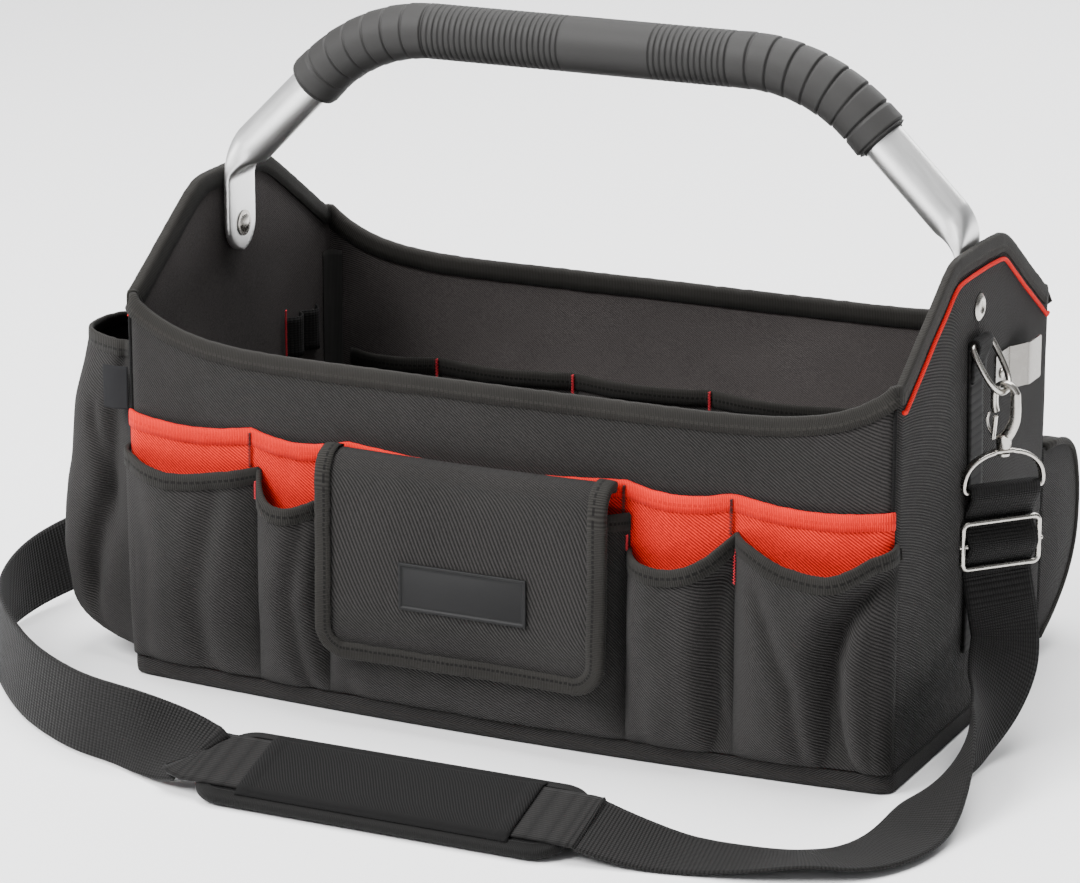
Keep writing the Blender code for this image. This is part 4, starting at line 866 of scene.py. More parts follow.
def flap_point(x, share, d):
    """A place on the flap; share runs down from its seam."""
    w = share * (len(FLAP_ROWS) - 1)
    scale = (FLAP_TOP - FLAP_BOTTOM) / FLAP_ROWS[-1][1]
    out = min(1.0, curve_table(FLAP_OUTS, w))
    z = FLAP_TOP - scale * curve_table(FLAP_DROPS, w)
    start = bow(x, z) + GAP + red_lift(x, z) + LAYER + TAPE + 3 * GAP
    t = (x - FLAP_CENTRE) / (FLAP_WIDTH / 2)
    low = ease((FLAP_TOP - z - 0.03) / 0.08)
    warp = 0.0022 * abs(t) ** 3 * low - 0.0012 * (1 - t * t) * low + crumple(x, 9.0, z, 0.0008, 0.05)
    return Vector((x, -(SIDE + blend(start, FLAP_STAND, out) + warp * ease(out * 1.2 - 0.2) + d), z))


def flap_share(z):
    """Share down the flap where its hanging face has a height."""
    low, high = 0.36, 1.0
    for _ in range(24):
        middle = (low + high) / 2
        if flap_point(FLAP_CENTRE, middle, 0.0).z > z:
            low = middle
        else:
            high = middle
    return (low + high) / 2


def flap_half(z):
    """Half width of the flap, less at its rounded lower corners."""
    over = FLAP_BOTTOM + FLAP_CORNER - z
    if over <= 0:
        return FLAP_WIDTH / 2
    return FLAP_WIDTH / 2 - FLAP_CORNER + math.sqrt(max(0.0, FLAP_CORNER ** 2 - over ** 2))


def build_flap():
    """Flap over the middle pocket, its binding and the rubber label."""
    def surface(u, v):
        share = 1 - v
        half = flap_half(flap_point(FLAP_CENTRE, share, 0.0).z) - 0.0003
        return flap_point(FLAP_CENTRE + half * (2 * u - 1), share, 0.0)
    cloth = grid("flap_cloth", surface, 72, 70, BODY, FLAP_CLOTH, 1.0)
    carry(cloth, "bag", "body_cloth", "flap")

    half = FLAP_WIDTH / 2
    high = FLAP_TOP - 0.012
    low = FLAP_BOTTOM + FLAP_CORNER
    over_run = 0.026
    high_share = flap_share(high)
    side_run = high - low
    turn_run = FLAP_CORNER * math.pi / 2
    bottom_run = FLAP_WIDTH - 2 * FLAP_CORNER
    total = 2 * side_run + 2 * turn_run + bottom_run

    def over_fold(x, share):
        """The binding where it goes over the fold at the flap's top."""
        inward = Vector((1 if x < 0 else -1, 0, 0))
        down = flap_point(FLAP_CENTRE + x, share + 0.01, 0.0)
        down -= flap_point(FLAP_CENTRE + x, share - 0.01, 0.0)
        out = down.cross(inward).normalized()
        if out.dot(Vector((0, -1, 0.6))) < 0:
            out = -out
        return flap_point(FLAP_CENTRE + x, share, 0.0) + out * (FLAP_CLOTH / 2), inward, out

    def flat(run):
        """The binding's route in x and z, down one side, along the bottom and up the other."""
        if run < side_run:
            return -half, high - run, 1.0, 0.0
        run -= side_run
        if run < turn_run:
            a = run / FLAP_CORNER
            return (-half + FLAP_CORNER - FLAP_CORNER * math.cos(a), low - FLAP_CORNER * math.sin(a),
                    math.cos(a), math.sin(a))
        run -= turn_run
        if run < bottom_run:
            return -half + FLAP_CORNER + run, FLAP_BOTTOM, 0.0, 1.0
        run -= bottom_run
        if run < turn_run:
            a = run / FLAP_CORNER
            return (half - FLAP_CORNER + FLAP_CORNER * math.sin(a), low - FLAP_CORNER * math.cos(a),
                    -math.sin(a), math.cos(a))
        run -= turn_run
        return half, low + run, -1.0, 0.0

    def edge(t):
        run = t * (total + 2 * over_run) - over_run
        if run < 0:
            return over_fold(-half, blend(high_share, 0.05, -run / over_run))
        if run > total:
            return over_fold(half, blend(high_share, 0.05, (run - total) / over_run))
        x, z, ix, iz = flat(run)
        share = flap_share(z)
        at = flap_point(FLAP_CENTRE + x, share, FLAP_CLOTH / 2)
        at.z = z
        step = 0.003
        ahead = flap_point(FLAP_CENTRE + x + ix * step, flap_share(z + iz * step), FLAP_CLOTH / 2)
        ahead.z = z + iz * step
        inward = (ahead - at).normalized()
        out = Vector((0, -1, 0))
        out = (out - inward * out.dot(inward)).normalized()
        return at, inward, out
    tape = bound_edge("flap_binding", edge, 260, POCKET_TAPE, 0.006, FLAP_CLOTH / 2, POCKET_BIND)
    carry(tape, "bag", "binding", "flap_tape")
    build_label()


def build_label():
    """Rubber label on the flap, bare, with a raised rim."""
    low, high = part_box("rubber_label")
    centre = (low + high) / 2
    deselect()
    bpy.ops.mesh.primitive_cube_add(size=1.0, location=centre,
                                    scale=(high.x - low.x, 0.0016, high.z - low.z))
    label = bpy.context.active_object
    label.name = "flap_rubber_label"
    bpy.ops.object.transform_apply(location=True, rotation=True, scale=True)
    bpy.ops.object.mode_set(mode="EDIT")
    form = bmesh.from_edit_mesh(label.data)
    for face in form.faces:
        face.select_set(False)
    for face in form.faces:
        if face.normal.y < -0.9:
            face.select_set(True)
    form.select_flush(True)
    bmesh.update_edit_mesh(label.data)
    bpy.ops.mesh.inset(thickness=0.0016)
    bpy.ops.mesh.inset(thickness=0.0004, depth=-0.0008)
    bpy.ops.mesh.inset(thickness=0.0012, depth=0.0)
    bpy.ops.mesh.inset(thickness=0.0004, depth=0.0003)
    bpy.ops.object.mode_set(mode="OBJECT")
    soft = label.modifiers.new("Corners", "BEVEL")
    soft.width = 0.0012
    soft.segments = 3
    soft.limit_method = "ANGLE"
    soft.angle_limit = math.radians(60)
    apply_modifiers(label)
    label.data.shade_smooth()
    sharpen(label, 40)
    label.data.materials.clear()
    label.data.materials.append(LABEL_RUBBER)
    shift = flap_point(centre.x, flap_share(centre.z), FLAP_CLOTH + 0.0008).y - centre.y
    label.data.transform(Matrix.Translation((0, shift, 0)))
    carry(label, "bag", "rubber_label", "rubber_label")


def build_base():
    """Bottom board with the cloth band round its edge."""
    rows = ((-0.030, 0.0), (-0.004, 0.0), (BAND_OUT - 0.0016, 0.0), (BAND_OUT - 0.0004, 0.0006),
            (BAND_OUT, 0.0022), (BAND_OUT + 0.0003, 0.0060), (BAND_OUT, BAND_HEIGHT - 0.0008),
            (BAND_OUT - 0.0006, BAND_HEIGHT), (BAND_OUT - 0.0015, BAND_HEIGHT - 0.0004),
            (BAND_OUT - 0.0019, 0.0060), (-0.0035, 0.0045), (-0.030, 0.0042))
    quarter_run = CORNER * math.pi / 2
    long_run = 2 * (HALF - CORNER)
    end_run = 2 * (SIDE - CORNER)
    total = 2 * long_run + 2 * end_run + 4 * quarter_run

    def around(t):
        """Place and way out on the outline at a share of the way round."""
        run = (t % 1.0) * total
        corners = ((HALF - CORNER, -(SIDE - CORNER), -90), (HALF - CORNER, SIDE - CORNER, 0),
                   (-(HALF - CORNER), SIDE - CORNER, 90), (-(HALF - CORNER), -(SIDE - CORNER), 180))
        straights = (long_run, end_run, long_run, end_run)
        starts = ((-(HALF - CORNER), -SIDE), (HALF, -(SIDE - CORNER)), (HALF - CORNER, SIDE),
                  (-HALF, SIDE - CORNER))
        ways = ((1, 0), (0, 1), (-1, 0), (0, -1))
        for i in range(4):
            if run < straights[i]:
                x = starts[i][0] + ways[i][0] * run
                y = starts[i][1] + ways[i][1] * run
                out = Vector((ways[i][1], -ways[i][0], 0))
                if i in (0, 2):
                    y += out.y * bow(x, 0)
                return Vector((x, y, 0)), out
            run -= straights[i]
            if run < quarter_run:
                angle = math.radians(corners[i][2]) + run / CORNER
                out = Vector((math.cos(angle), math.sin(angle), 0))
                return Vector((corners[i][0], corners[i][1], 0)) + out * CORNER, out
            run -= quarter_run
        return around(0.0)

    last = len(rows) - 1

    def surface(u, v):
        at, out = around(u)
        d, z = rows[last - round(v * last)]
        return at + out * d + Vector((0, 0, z))
    base = grid("base_board_and_band", surface, 360, last, BODY, round_u=True, caps=True)
    carry(base, "bag", "base_cloth", "base")


def stage():
    """Pale floor, soft lights and the camera."""
    deselect()
    bpy.ops.mesh.primitive_plane_add(size=30.0, location=(0, 0, -0.0002))
    floor = bpy.context.active_object
    floor.name = "floor"
    pale = Finish("pale_floor", (0.93, 0.93, 0.935), 0.8)
    cloud = pale.noise(pale.place(), 3.0, 2.0)
    pale.set("Base Color", pale.mix(cloud, (0.92, 0.92, 0.925), (0.94, 0.94, 0.945)))
    floor.data.materials.append(pale.material)
    world = bpy.data.worlds.new("soft_studio")
    bpy.context.scene.world = world
    world.use_nodes = True
    world.node_tree.nodes["Background"].inputs["Color"].default_value = (0.97, 0.98, 1.0, 1.0)
    nodes = world.node_tree.nodes
    links = world.node_tree.links
    # The world is dimmer towards the right end
    direction = nodes.new("ShaderNodeTexCoord")
    split = nodes.new("ShaderNodeSeparateXYZ")
    dim = nodes.new("ShaderNodeMapRange")
    dim.inputs["From Min"].default_value = 0.05
    dim.inputs["From Max"].default_value = 0.85
    dim.inputs["To Min"].default_value = 0.68
    dim.inputs["To Max"].default_value = 0.14
    links.new(direction.outputs["Generated"], split.inputs["Vector"])
    links.new(split.outputs["X"], dim.inputs["Value"])
    links.new(dim.outputs["Result"], nodes["Background"].inputs["Strength"])
    lights = (
        ("key", (-1.5, -2.3, 2.6), 1.9, 268.0),
        ("fill", (2.6, -1.6, 1.6), 2.0, 5.0),
        ("top", (0.0, 0.5, 3.0), 2.4, 185.0),
        ("rim", (0.2, 2.8, 1.8), 1.6, 60.0),
    )
    for name, at, size, power in lights:
        lamp = bpy.data.lights.new(name, "AREA")
        lamp.energy = power
        lamp.size = size
        made = bpy.data.objects.new(name, lamp)
        made.location = at
        made.rotation_euler = (Vector((0, 0, 0.15)) - Vector(at)).to_track_quat("-Z", "Y").to_euler()
        bpy.context.scene.collection.objects.link(made)
    lens = bpy.data.cameras.new("camera")
    lens.sensor_fit = "HORIZONTAL"
    lens.sensor_width = SENSOR
    lens.lens = FOCAL_PIXELS * SENSOR / IMAGE_WIDTH
    lens.clip_start = 0.1
    camera = bpy.data.objects.new("camera", lens)
    camera.location = EYE
    camera.rotation_euler = (math.pi / 2 - ELEVATION, 0.0, AZIMUTH)
    bpy.context.scene.collection.objects.link(camera)
    bpy.context.scene.camera = camera


def smooth_rows(rows, count):
    """Points on a smooth curve through rows, evenly spaced in their order."""
    found = []
    last = len(rows) - 1
    for k in range(count + 1):
        place = k / count * last
        i = min(last - 1, int(place))
        t = place - i
        a = rows[max(0, i - 1)]
        b = rows[i]
        c = rows[i + 1]
        d = rows[min(last, i + 2)]
        found.append(tuple(0.5 * (2 * q + (r - p) * t + (2 * p - 5 * q + 4 * r - s) * t ** 2
                                  + (3 * q - p - 3 * r + s) * t ** 3)
                           for p, q, r, s in zip(a, b, c, d)))
    return found


# Handle, from the middle of the grip to the flattened end
TUBE = 0.0125
GRIP = 0.0163
GRIP_END = 0.1790
GRIP_STRAIGHT = (-0.102, 0.090)    # the stretch with fine ribs
GRIP_BARE = (-0.012, 0.040)        # the smooth patch in it
RIB_PITCH = 0.0036
BAND_PITCH = 0.0125
KNEE = 0.1420
BEND = 0.105
FOOT_BEND = 0.030
TAB = 0.0050
TAB_WIDTH = 0.0330
TAB_CLEAR = 0.0022
TAB_RISE = 0.0390
HANDLE_HEIGHT = GRIP_TOP - GRIP


def handle_line():
    """Centre line of the right half, as (x, z) points and their run from the middle."""
    foot_x = HALF - WALL - TAB_CLEAR - TAB / 2
    tab_top = PIVOT + TAB_RISE
    slope = math.atan2(HANDLE_HEIGHT - tab_top, foot_x - KNEE)
    knee_in = BEND * math.tan(slope / 2)
    points = [(blend(0, KNEE - knee_in, i / 60), HANDLE_HEIGHT) for i in range(60)]
    for i in range(41):
        a = math.pi / 2 - slope * i / 40
        points.append((KNEE - knee_in + BEND * math.cos(a), HANDLE_HEIGHT - BEND + BEND * math.sin(a)))
    turn = math.pi / 2 - slope
    foot_in = FOOT_BEND * math.tan(turn / 2)
    centre = (foot_x - FOOT_BEND, tab_top - foot_in)
    start = (centre[0] + FOOT_BEND * math.cos(turn), centre[1] + FOOT_BEND * math.sin(turn))
    before = points[-1]
    points += [(blend(before[0], start[0], i / 40), blend(before[1], start[1], i / 40))
               for i in range(1, 40)]
    for i in range(25):
        a = turn * (1 - i / 24)
        points.append((centre[0] + FOOT_BEND * math.cos(a), centre[1] + FOOT_BEND * math.sin(a)))
    end = PIVOT - TAB_WIDTH / 2
    before = points[-1]
    points += [(foot_x, blend(before[1], end, (i / 40) ** 0.9)) for i in range(1, 41)]
    runs = [0.0]
    for a, b in zip(points, points[1:]):
        runs.append(runs[-1] + math.hypot(b[0] - a[0], b[1] - a[1]))
    return points, runs, tab_top


def on_line(points, runs, run):
    """Point of the handle's line at a run from its middle, either way."""
    wanted = min(abs(run), runs[-1])
    low = 0
    high = len(runs) - 1
    while high - low > 1:
        middle = (low + high) // 2
        if runs[middle] <= wanted:
            low = middle
        else:
            high = middle
    share = (wanted - runs[low]) / max(1e-9, runs[high] - runs[low])
    x = blend(points[low][0], points[high][0], share)
    z = blend(points[low][1], points[high][1], share)
    return Vector((math.copysign(x, run), 0.0, z))


def build_handle():
    """Satin tube with flattened ends, and the ribbed rubber grip."""
    points, runs, tab_top = handle_line()
    reach = runs[-1]
    foot_run = next(run for run, point in zip(runs, points) if point[1] <= tab_top + 0.012)
    tab_run = next(run for run, point in zip(runs, points) if point[1] <= tab_top - 0.010)

    def halves(run):
        """Half width along the pivot's Y and half thickness at a run."""
        run = abs(run)
        flat = ease((run - foot_run) / (tab_run - foot_run))
        wide = blend(TUBE, TAB_WIDTH / 2, flat)
        thick = blend(TUBE, TAB / 2, flat)
        left = reach - run
        if left < TAB_WIDTH / 2:
            wide *= math.sqrt(max(0.0004, 1 - ((TAB_WIDTH / 2 - left) / (TAB_WIDTH / 2)) ** 2))
        return wide, thick

    columns = 520

    def surface(u, v):
        run = blend(-reach, reach, u)
        at = on_line(points, runs, run)
        ahead = on_line(points, runs, run + 0.0005) - on_line(points, runs, run - 0.0005)
        if ahead.length < 1e-7 or abs(run) > reach - 0.001:
            ahead = on_line(points, runs, math.copysign(reach, run))
            ahead -= on_line(points, runs, math.copysign(reach - 0.004, run))
            ahead *= math.copysign(1, run)
        ahead.normalize()
        across = Vector((-ahead.z, 0, ahead.x))
        wide, thick = halves(run)
        square = 1.0 if abs(run) < foot_run else 0.45
        angle = 2 * math.pi * v
        c, s = math.cos(angle), math.sin(angle)
        power = blend(1.0, square, ease((abs(run) - foot_run) / 0.02))
        cy = math.copysign(abs(c) ** power, c)
        sy = math.copysign(abs(s) ** power, s)
        return at + Vector((0, 1, 0)) * (wide * cy) + across * (thick * sy)
    body = grid("handle_satin_tube", surface, columns, 40, TUBE_METAL, round_v=True, caps=True)
    sharpen(body, 50)
    carry(body, "handle", "satin_tube", "handle_tube")

    grip_run = next(run for run, point in zip(runs, points) if point[0] >= GRIP_END)

    def radius(run):
        """Grip radius: fine ribs on the straight stretch, broad bands round the bends."""
        r = GRIP
        end = grip_run - abs(run)
        bare = GRIP_BARE[0] < run < GRIP_BARE[1]
        straight = GRIP_STRAIGHT[0] < run < GRIP_STRAIGHT[1]
        if straight and not bare:
            phase = (run / RIB_PITCH) % 1.0
            r -= 0.0012 * (1 - ease(min(phase, 1 - phase) * 4.5))
        elif not straight:
            start = GRIP_STRAIGHT[0] if run < 0 else GRIP_STRAIGHT[1]
            phase = (abs(run - start) / BAND_PITCH) % 1.0
            near = min(phase, 1 - phase) * BAND_PITCH
            r -= 0.0013 * (1 - ease(near / 0.0011))
            r += 0.0004 * (phase - 0.5)
        if end < 0.012:
            r += 0.0004
        if end < 0.0014:
            r -= 0.0014 * (1 - math.sqrt(max(0.0, 1 - ((0.0014 - end) / 0.0014) ** 2)))
        return r

    def grip_surface(u, v):
        run = blend(-grip_run, grip_run, u)
        at = on_line(points, runs, run)
        ahead = (on_line(points, runs, run + 0.0008) - on_line(points, runs, run - 0.0008)).normalized()
        across = Vector((-ahead.z, 0, ahead.x))
        angle = 2 * math.pi * v
        r = radius(run)
        return at + Vector((0, 1, 0)) * (r * math.cos(angle)) + across * (r * math.sin(angle))
    grip = grid("handle_rubber_grip", grip_surface, 900, 52, GRIP_RUBBER, round_v=True)
    solid = grip.modifiers.new("Wall", "SOLIDIFY")
    solid.thickness = GRIP - TUBE - 0.0008
    solid.offset = -1.0
    apply_modifiers(grip)
    carry(grip, "handle", "rubber_grip", "handle_grip")


def smooth_loop(points, steps):
    """Points on a smooth closed curve through points."""
    count = len(points)
    found = []
    for i in range(count):
        a, b, c, d = points[i - 1], points[i], points[(i + 1) % count], points[(i + 2) % count]
        for k in range(steps):
            t = k / steps
            found.append(0.5 * (2 * b + (c - a) * t + (2 * a - 5 * b + 4 * c - d) * t ** 2
                                + (3 * b - a - 3 * c + d) * t ** 3))
    return found


def rounded_loop(width, height, radius, steps):
    """Points round a rounded rectangle, in its own plane."""
    found = []
    for cx, cy, start in ((1, 1, 0), (-1, 1, 90), (-1, -1, 180), (1, -1, 270)):
        x = cx * (width / 2 - radius)
        y = cy * (height / 2 - radius)
        for i in range(steps + 1):
            a = math.radians(start + 90 * i / steps)
            found.append((x + radius * math.cos(a), y + radius * math.sin(a)))
    return found


def wire(name, points, normal, half_in, half_out, finish, closed=False, sides=14, square=1.0):
    """A bent wire or bar that lies in one plane.

    half_in is its half size in that plane, or half_in(share) where it varies, and half_out is
    its half size along the plane's normal.
    """
    count = len(points)
    columns = count if closed else count - 1
    normal = Vector(normal).normalized()

    def surface(u, v):
        i = round(u * columns)
        if closed:
            i %= count
            ahead = points[(i + 1) % count] - points[i - 1]
        else:
            ahead = points[min(count - 1, i + 1)] - points[max(0, i - 1)]
        across = normal.cross(ahead).normalized()
        c = math.cos(2 * math.pi * v)
        s = math.sin(2 * math.pi * v)
        wide = half_in(i / columns) if callable(half_in) else half_in
        return (points[i] + across * (wide * math.copysign(abs(c) ** square, c))
                + normal * (half_out * math.copysign(abs(s) ** square, s)))
    made = grid(name, surface, columns, sides, finish, round_u=closed, round_v=True, caps=not closed)
    if square < 1:
        sharpen(made, 40)
    return made


def spun(name, profile, axis, centre, finish, steps=48):
    """A turned piece. Profile rows are (radius, height along the axis)."""
    axis = Vector(axis).normalized()
    side = Vector((0, 0, 1)) if abs(axis.z) < 0.9 else Vector((1, 0, 0))
    side = (side - axis * side.dot(axis)).normalized()
    other = axis.cross(side)
    last = len(profile) - 1

    def surface(u, v):
        radius, height = profile[round(v * last)]
        angle = 2 * math.pi * u
        offset = side * (radius * math.cos(angle)) + other * (radius * math.sin(angle))
        return centre + axis * height + offset
    made = grid(name, surface, steps, last, finish, round_u=True, round_v=True)
    sharpen(made, 40)
    return made


def band(name, stations, thickness, width, finish, steps=4, across_steps=6):
    """A flat band of webbing along stations of (centre, unit vector across)."""
    rows = [tuple(centre) + tuple(across) for centre, across in stations]
    fine = smooth_rows(rows, (len(rows) - 1) * steps)
    columns = len(fine) - 1
    centres = [Vector(row[:3]) for row in fine]
    sides = []
    for i, row in enumerate(fine):
        ahead = centres[min(columns, i + 1)] - centres[max(0, i - 1)]
        ahead.normalize()
        across = Vector(row[3:])
        sides.append((across - ahead * across.dot(ahead)).normalized())

    def surface(u, v):
        i = round(u * columns)
        return centres[i] + sides[i] * (width * (v - 0.5))
    return grid(name, surface, columns, across_steps, finish, thickness, 0.0)


# Left end pocket and the pocket and flap on the back
END_POCKET_FRONT = -0.1165
END_POCKET_REAR = -0.0360
END_POCKET_TOP = 0.200
END_POCKET_DEPTH = 0.061
END_POCKET_ROWS = (
    (0.0, 0.08), (0.02, 0.50), (0.08, 0.85), (0.18, 0.95), (0.42, 1.0),
    (0.70, 0.86), (0.85, 0.78), (1.0, 0.75),
)
BACK_POCKET_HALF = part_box("back_pocket")[1].x
BACK_POCKET_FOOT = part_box("back_pocket")[0].z
BACK_POCKET_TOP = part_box("back_pocket")[1].z
BACK_POCKET_DEPTH = 0.057
BACK_POCKET_ROWS = ((0.0, 0.05), (0.12, 0.55), (0.30, 0.82), (0.60, 1.0), (1.0, 0.90))
BACK_FLAP_TOP = 0.138
BACK_FLAP_DROP = 0.078
BACK_FLAP_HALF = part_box("back_flap")[1].x - 0.0022
BACK_FLAP_ROWS = (
    (0.012, 0.11), (0.25, 0.09), (0.62, 0.14), (0.88, 0.26), (1.04, 0.474),
    (1.08, 0.705), (1.06, 1.0),
)


def crowd_more(share):
    """Spread 0..1 with most steps near both ends, for the steep sides of deep pockets."""
    return 0.5 - 0.5 * math.cos(math.pi * crowd(share))


def build_end_pocket():
    """Deep pocket on the left end, with its binding."""
    wall = end_wall(-1)

    def point(s, z, d):
        t = 2 * s - 1
        share = curve_table(END_POCKET_ROWS, (z - LAYER_FOOT) / (END_POCKET_TOP - LAYER_FOOT))
        near_mouth = ease((z - END_POCKET_TOP + 0.045) / 0.045)
        free = max(0.0, 1 - abs(t) ** blend(6.0, 3.0, near_mouth))
        out = END_POCKET_DEPTH * share * free
        out += crumple(s * 0.1, 1.0, z, 0.0022, 0.045, 2.0) * free
        y = blend(END_POCKET_REAR, END_POCKET_FRONT, s)
        fold = groove(s, z, ((0.985, 0.200), (0.970, 0.110), (0.93, 0.050)), 0.018, 0.009)
        fold += groove(s, z, ((0.93, 0.150), (0.98, 0.090)), 0.012, 0.003)
        return wall(y, z, GAP + max(0.0, out) + d) + Vector((0, fold * min(1.0, out / 0.02), 0))

    def surface(u, v):
        return point(crowd_more(u), blend(LAYER_FOOT, END_POCKET_TOP - 0.0003, v), 0.0)
    cloth = grid("end_pocket_cloth", surface, 110, 60, BODY, LAYER, 1.0)
    carry(cloth, "bag", "body_cloth", "end_pocket")

    def edge(t):
        s = crowd_more(t)
        at = point(s, END_POCKET_TOP, 0.0)
        along = point(s + 0.004, END_POCKET_TOP, 0.0) - point(s - 0.004, END_POCKET_TOP, 0.0)
        out = Vector((0, 0, 1)).cross(along.normalized()) * -1
        return at + out * (LAYER / 2), Vector((0, 0, -1)), out.normalized()
    tape = bound_edge("end_pocket_binding", edge, 110, POCKET_TAPE, 0.006, LAYER / 2, POCKET_BIND)
    carry(tape, "bag", "binding", "end_pocket_tape")


def build_gusset(name, side):
    """D-shaped cloth end of the back pocket, with its bound edge."""
    low = BACK_POCKET_FOOT
    high = BACK_FLAP_TOP - 0.0055
    x = side * (BACK_FLAP_HALF + 0.0016)
    rows = ((0.0, 0.04), (0.08, 0.42), (0.22, 0.84), (0.38, 1.07), (0.56, 1.13), (0.73, 1.09),
            (0.873, 0.95), (0.953, 0.69), (0.985, 0.36), (1.0, 0.05))

    def reach(v):
        return 0.002 + BACK_POCKET_DEPTH * curve_table(rows, v)

    def surface(u, v):
        swell = side * 0.0022 * math.sin(math.pi * u) * math.sin(math.pi * v)
        return Vector((x + swell, SIDE + 0.0008 + (reach(v) - 0.0008) * u, blend(low, high, v)))
    cloth = grid(name + "_back_gusset", surface, 24, 48, BODY, 0.0010, 0.0)
    carry(cloth, "bag", "body_cloth")

    def line(t):
        return Vector((x, SIDE + reach(t), blend(low, high, t)))
    carry(tube(name + "_back_gusset_binding", line, 60, 0.0023, 12, BIND), "bag", "binding")


def build_back():
    """Pocket and flap on the back."""
    flat_wall = long_wall(1)
    straight = HALF - CORNER

    def wall(x, z, out):
        """Off the back wall, straight on past its rounded corners."""
        at = flat_wall(min(max(x, -straight), straight), z, out)
        return Vector((x, at.y, at.z))

    def pocket(u, v):
        s = crowd_more(u)
        t = 2 * s - 1
        z = blend(BACK_POCKET_FOOT, BACK_POCKET_TOP, v)
        free = max(0.0, 1 - abs(t) ** 90)
        share = curve_table(BACK_POCKET_ROWS, v)
        x = blend(BACK_POCKET_HALF, -BACK_POCKET_HALF, s)
        out = BACK_POCKET_DEPTH * share * free + crumple(x, 3.0, z, 0.0012, 0.06) * free
        return wall(x, z, GAP + max(0.0, out))
    cloth = grid("back_pocket_cloth", pocket, 150, 36, BODY, LAYER, 1.0)
    carry(cloth, "bag", "body_cloth", "back_pocket")

    for name, side in (("left", -1), ("right", 1)):
        build_gusset(name, side)
    last = len(BACK_FLAP_ROWS) - 1
    outs = numbered(BACK_FLAP_ROWS, 0)
    drops = numbered(BACK_FLAP_ROWS, 1)

    def point(x, w, d):
        z = BACK_FLAP_TOP - BACK_FLAP_DROP * curve_table(drops, w)
        wave = crumple(x, 4.0, z, 0.0010, 0.07) * ease(w / 2)
        return wall(x, z, GAP + BACK_POCKET_DEPTH * curve_table(outs, w) + wave + d)

    def flap(u, v):
        return point(blend(BACK_FLAP_HALF, -BACK_FLAP_HALF, u), (last - 0.05) * (1 - v), 0.0)
    sheet = grid("back_flap_cloth", flap, 130, 46, BODY, 0.0018, 1.0)
    carry(sheet, "bag", "body_cloth", "back_flap")
    half = BACK_FLAP_HALF

    def edge(t):
        """Down one short side, along the hem and up the other side."""
        side_share = 0.14
        if t < side_share:
            x, w, inward = half, last * t / side_share, Vector((-1, 0, 0))
        elif t > 1 - side_share:
            x, w, inward = -half, last * (1 - t) / side_share, Vector((1, 0, 0))
        else:
            x = blend(half, -half, (t - side_share) / (1 - 2 * side_share))
            w = last
            inward = (point(x, last - 0.1, 0.0009) - point(x, last, 0.0009)).normalized()
        w = max(0.6, w)
        at = point(x, w, 0.0009)
        down = point(x, min(last, w + 0.05), 0.0009) - point(x, w - 0.05, 0.0009)
        out = Vector((-1, 0, 0)).cross(-down.normalized())
        return at, inward, out.normalized()
    tape = bound_edge("back_flap_binding", edge, 260, POCKET_TAPE, 0.006, 0.0009, POCKET_BIND)
    carry(tape, "bag", "binding")


# Inside pockets and tool loops
INNER_TOP = 0.141
INNER_LIFT = 0.009
INNER_FREE = 0.03
INNER_TACKS = (-0.222, -0.161, -0.068, 0.024, 0.116, 0.222)
TOOL_LOOP_Y = (0.064, 0.084, 0.104)
TOOL_LOOP_Z = (0.147, 0.173)
TOOL_LOOP_LIFT = 0.0065


def build_inside():
    """Pockets inside the back, the tool loops and the taped corners."""
    wall = long_wall(1)

    def point(x, z, d):
        up = max(0.0, (z - INNER_FREE) / (INNER_TOP - INNER_FREE))
        lift = INNER_LIFT * scallop(x, INNER_TACKS) * up
        lift += crumple(x, 6.0, z, 0.0012, 0.04) * up * scallop(x, INNER_TACKS)
        return wall(x, z, -(WALL + GAP + max(0.0, lift) + d))
    reach = INNER_TACKS[-1]

    def surface(u, v):
        return point(blend(-reach, reach, u), blend(LAYER_FOOT, INNER_TOP - 0.0003, v), 0.0)
    cloth = grid("inner_pocket_cloth", surface, 150, 40, INSIDE_PAINTED_LIGHT, LAYER, -1.0)
    carry(cloth, "bag", "lining_cloth", "inner_pockets")

    def edge(t):
        x = blend(-reach, reach, t)
        at = point(x, INNER_TOP, LAYER / 2)
        down = (point(x, INNER_TOP - 0.001, LAYER / 2) - at).normalized()
        return at, down, Vector((0, -1, 0))
    hem = bound_edge("inner_pocket_binding", edge, 150, POCKET_TAPE, 0.001, LAYER / 2, POCKET_BIND)
    carry(hem, "bag", "binding")
    for i, x in enumerate(INNER_TACKS[1:-1]):
        def line(t, x=x):
            z = blend(INNER_TOP + 0.001, INNER_TOP - 0.012, t)
            return point(x + 0.0008 * zigzag(t, 26), z, 0.0032)
        carry(tube("inner_bar_tack_%d" % i, line, 26, 0.00042, 6, THREAD_RED), "bag", "binding")

    end = end_wall(-1)

    def loops(u, v):
        y = blend(TOOL_LOOP_Y[0], TOOL_LOOP_Y[-1], u)
        lift = TOOL_LOOP_LIFT * scallop(y, TOOL_LOOP_Y)
        return end(y, blend(TOOL_LOOP_Z[0], TOOL_LOOP_Z[1], v), -(WALL + GAP + lift))
    carry(grid("tool_loop_webbing", loops, 60, 8, WEBBING, LAYER, -1.0), "bag", "lining_cloth",
          "tool_loops")

    def stitch(t):
        z = blend(TOOL_LOOP_Z[0] - 0.010, TOOL_LOOP_Z[1] + 0.006, t)
        return end(TOOL_LOOP_Y[0] - 0.003 + 0.0008 * zigzag(t, 70), z, -(WALL + GAP + 0.0022))
    carry(tube("tool_loop_bar_tack", stitch, 70, 0.00045, 6, THREAD_RED), "bag", "binding")
    build_corner_tapes()


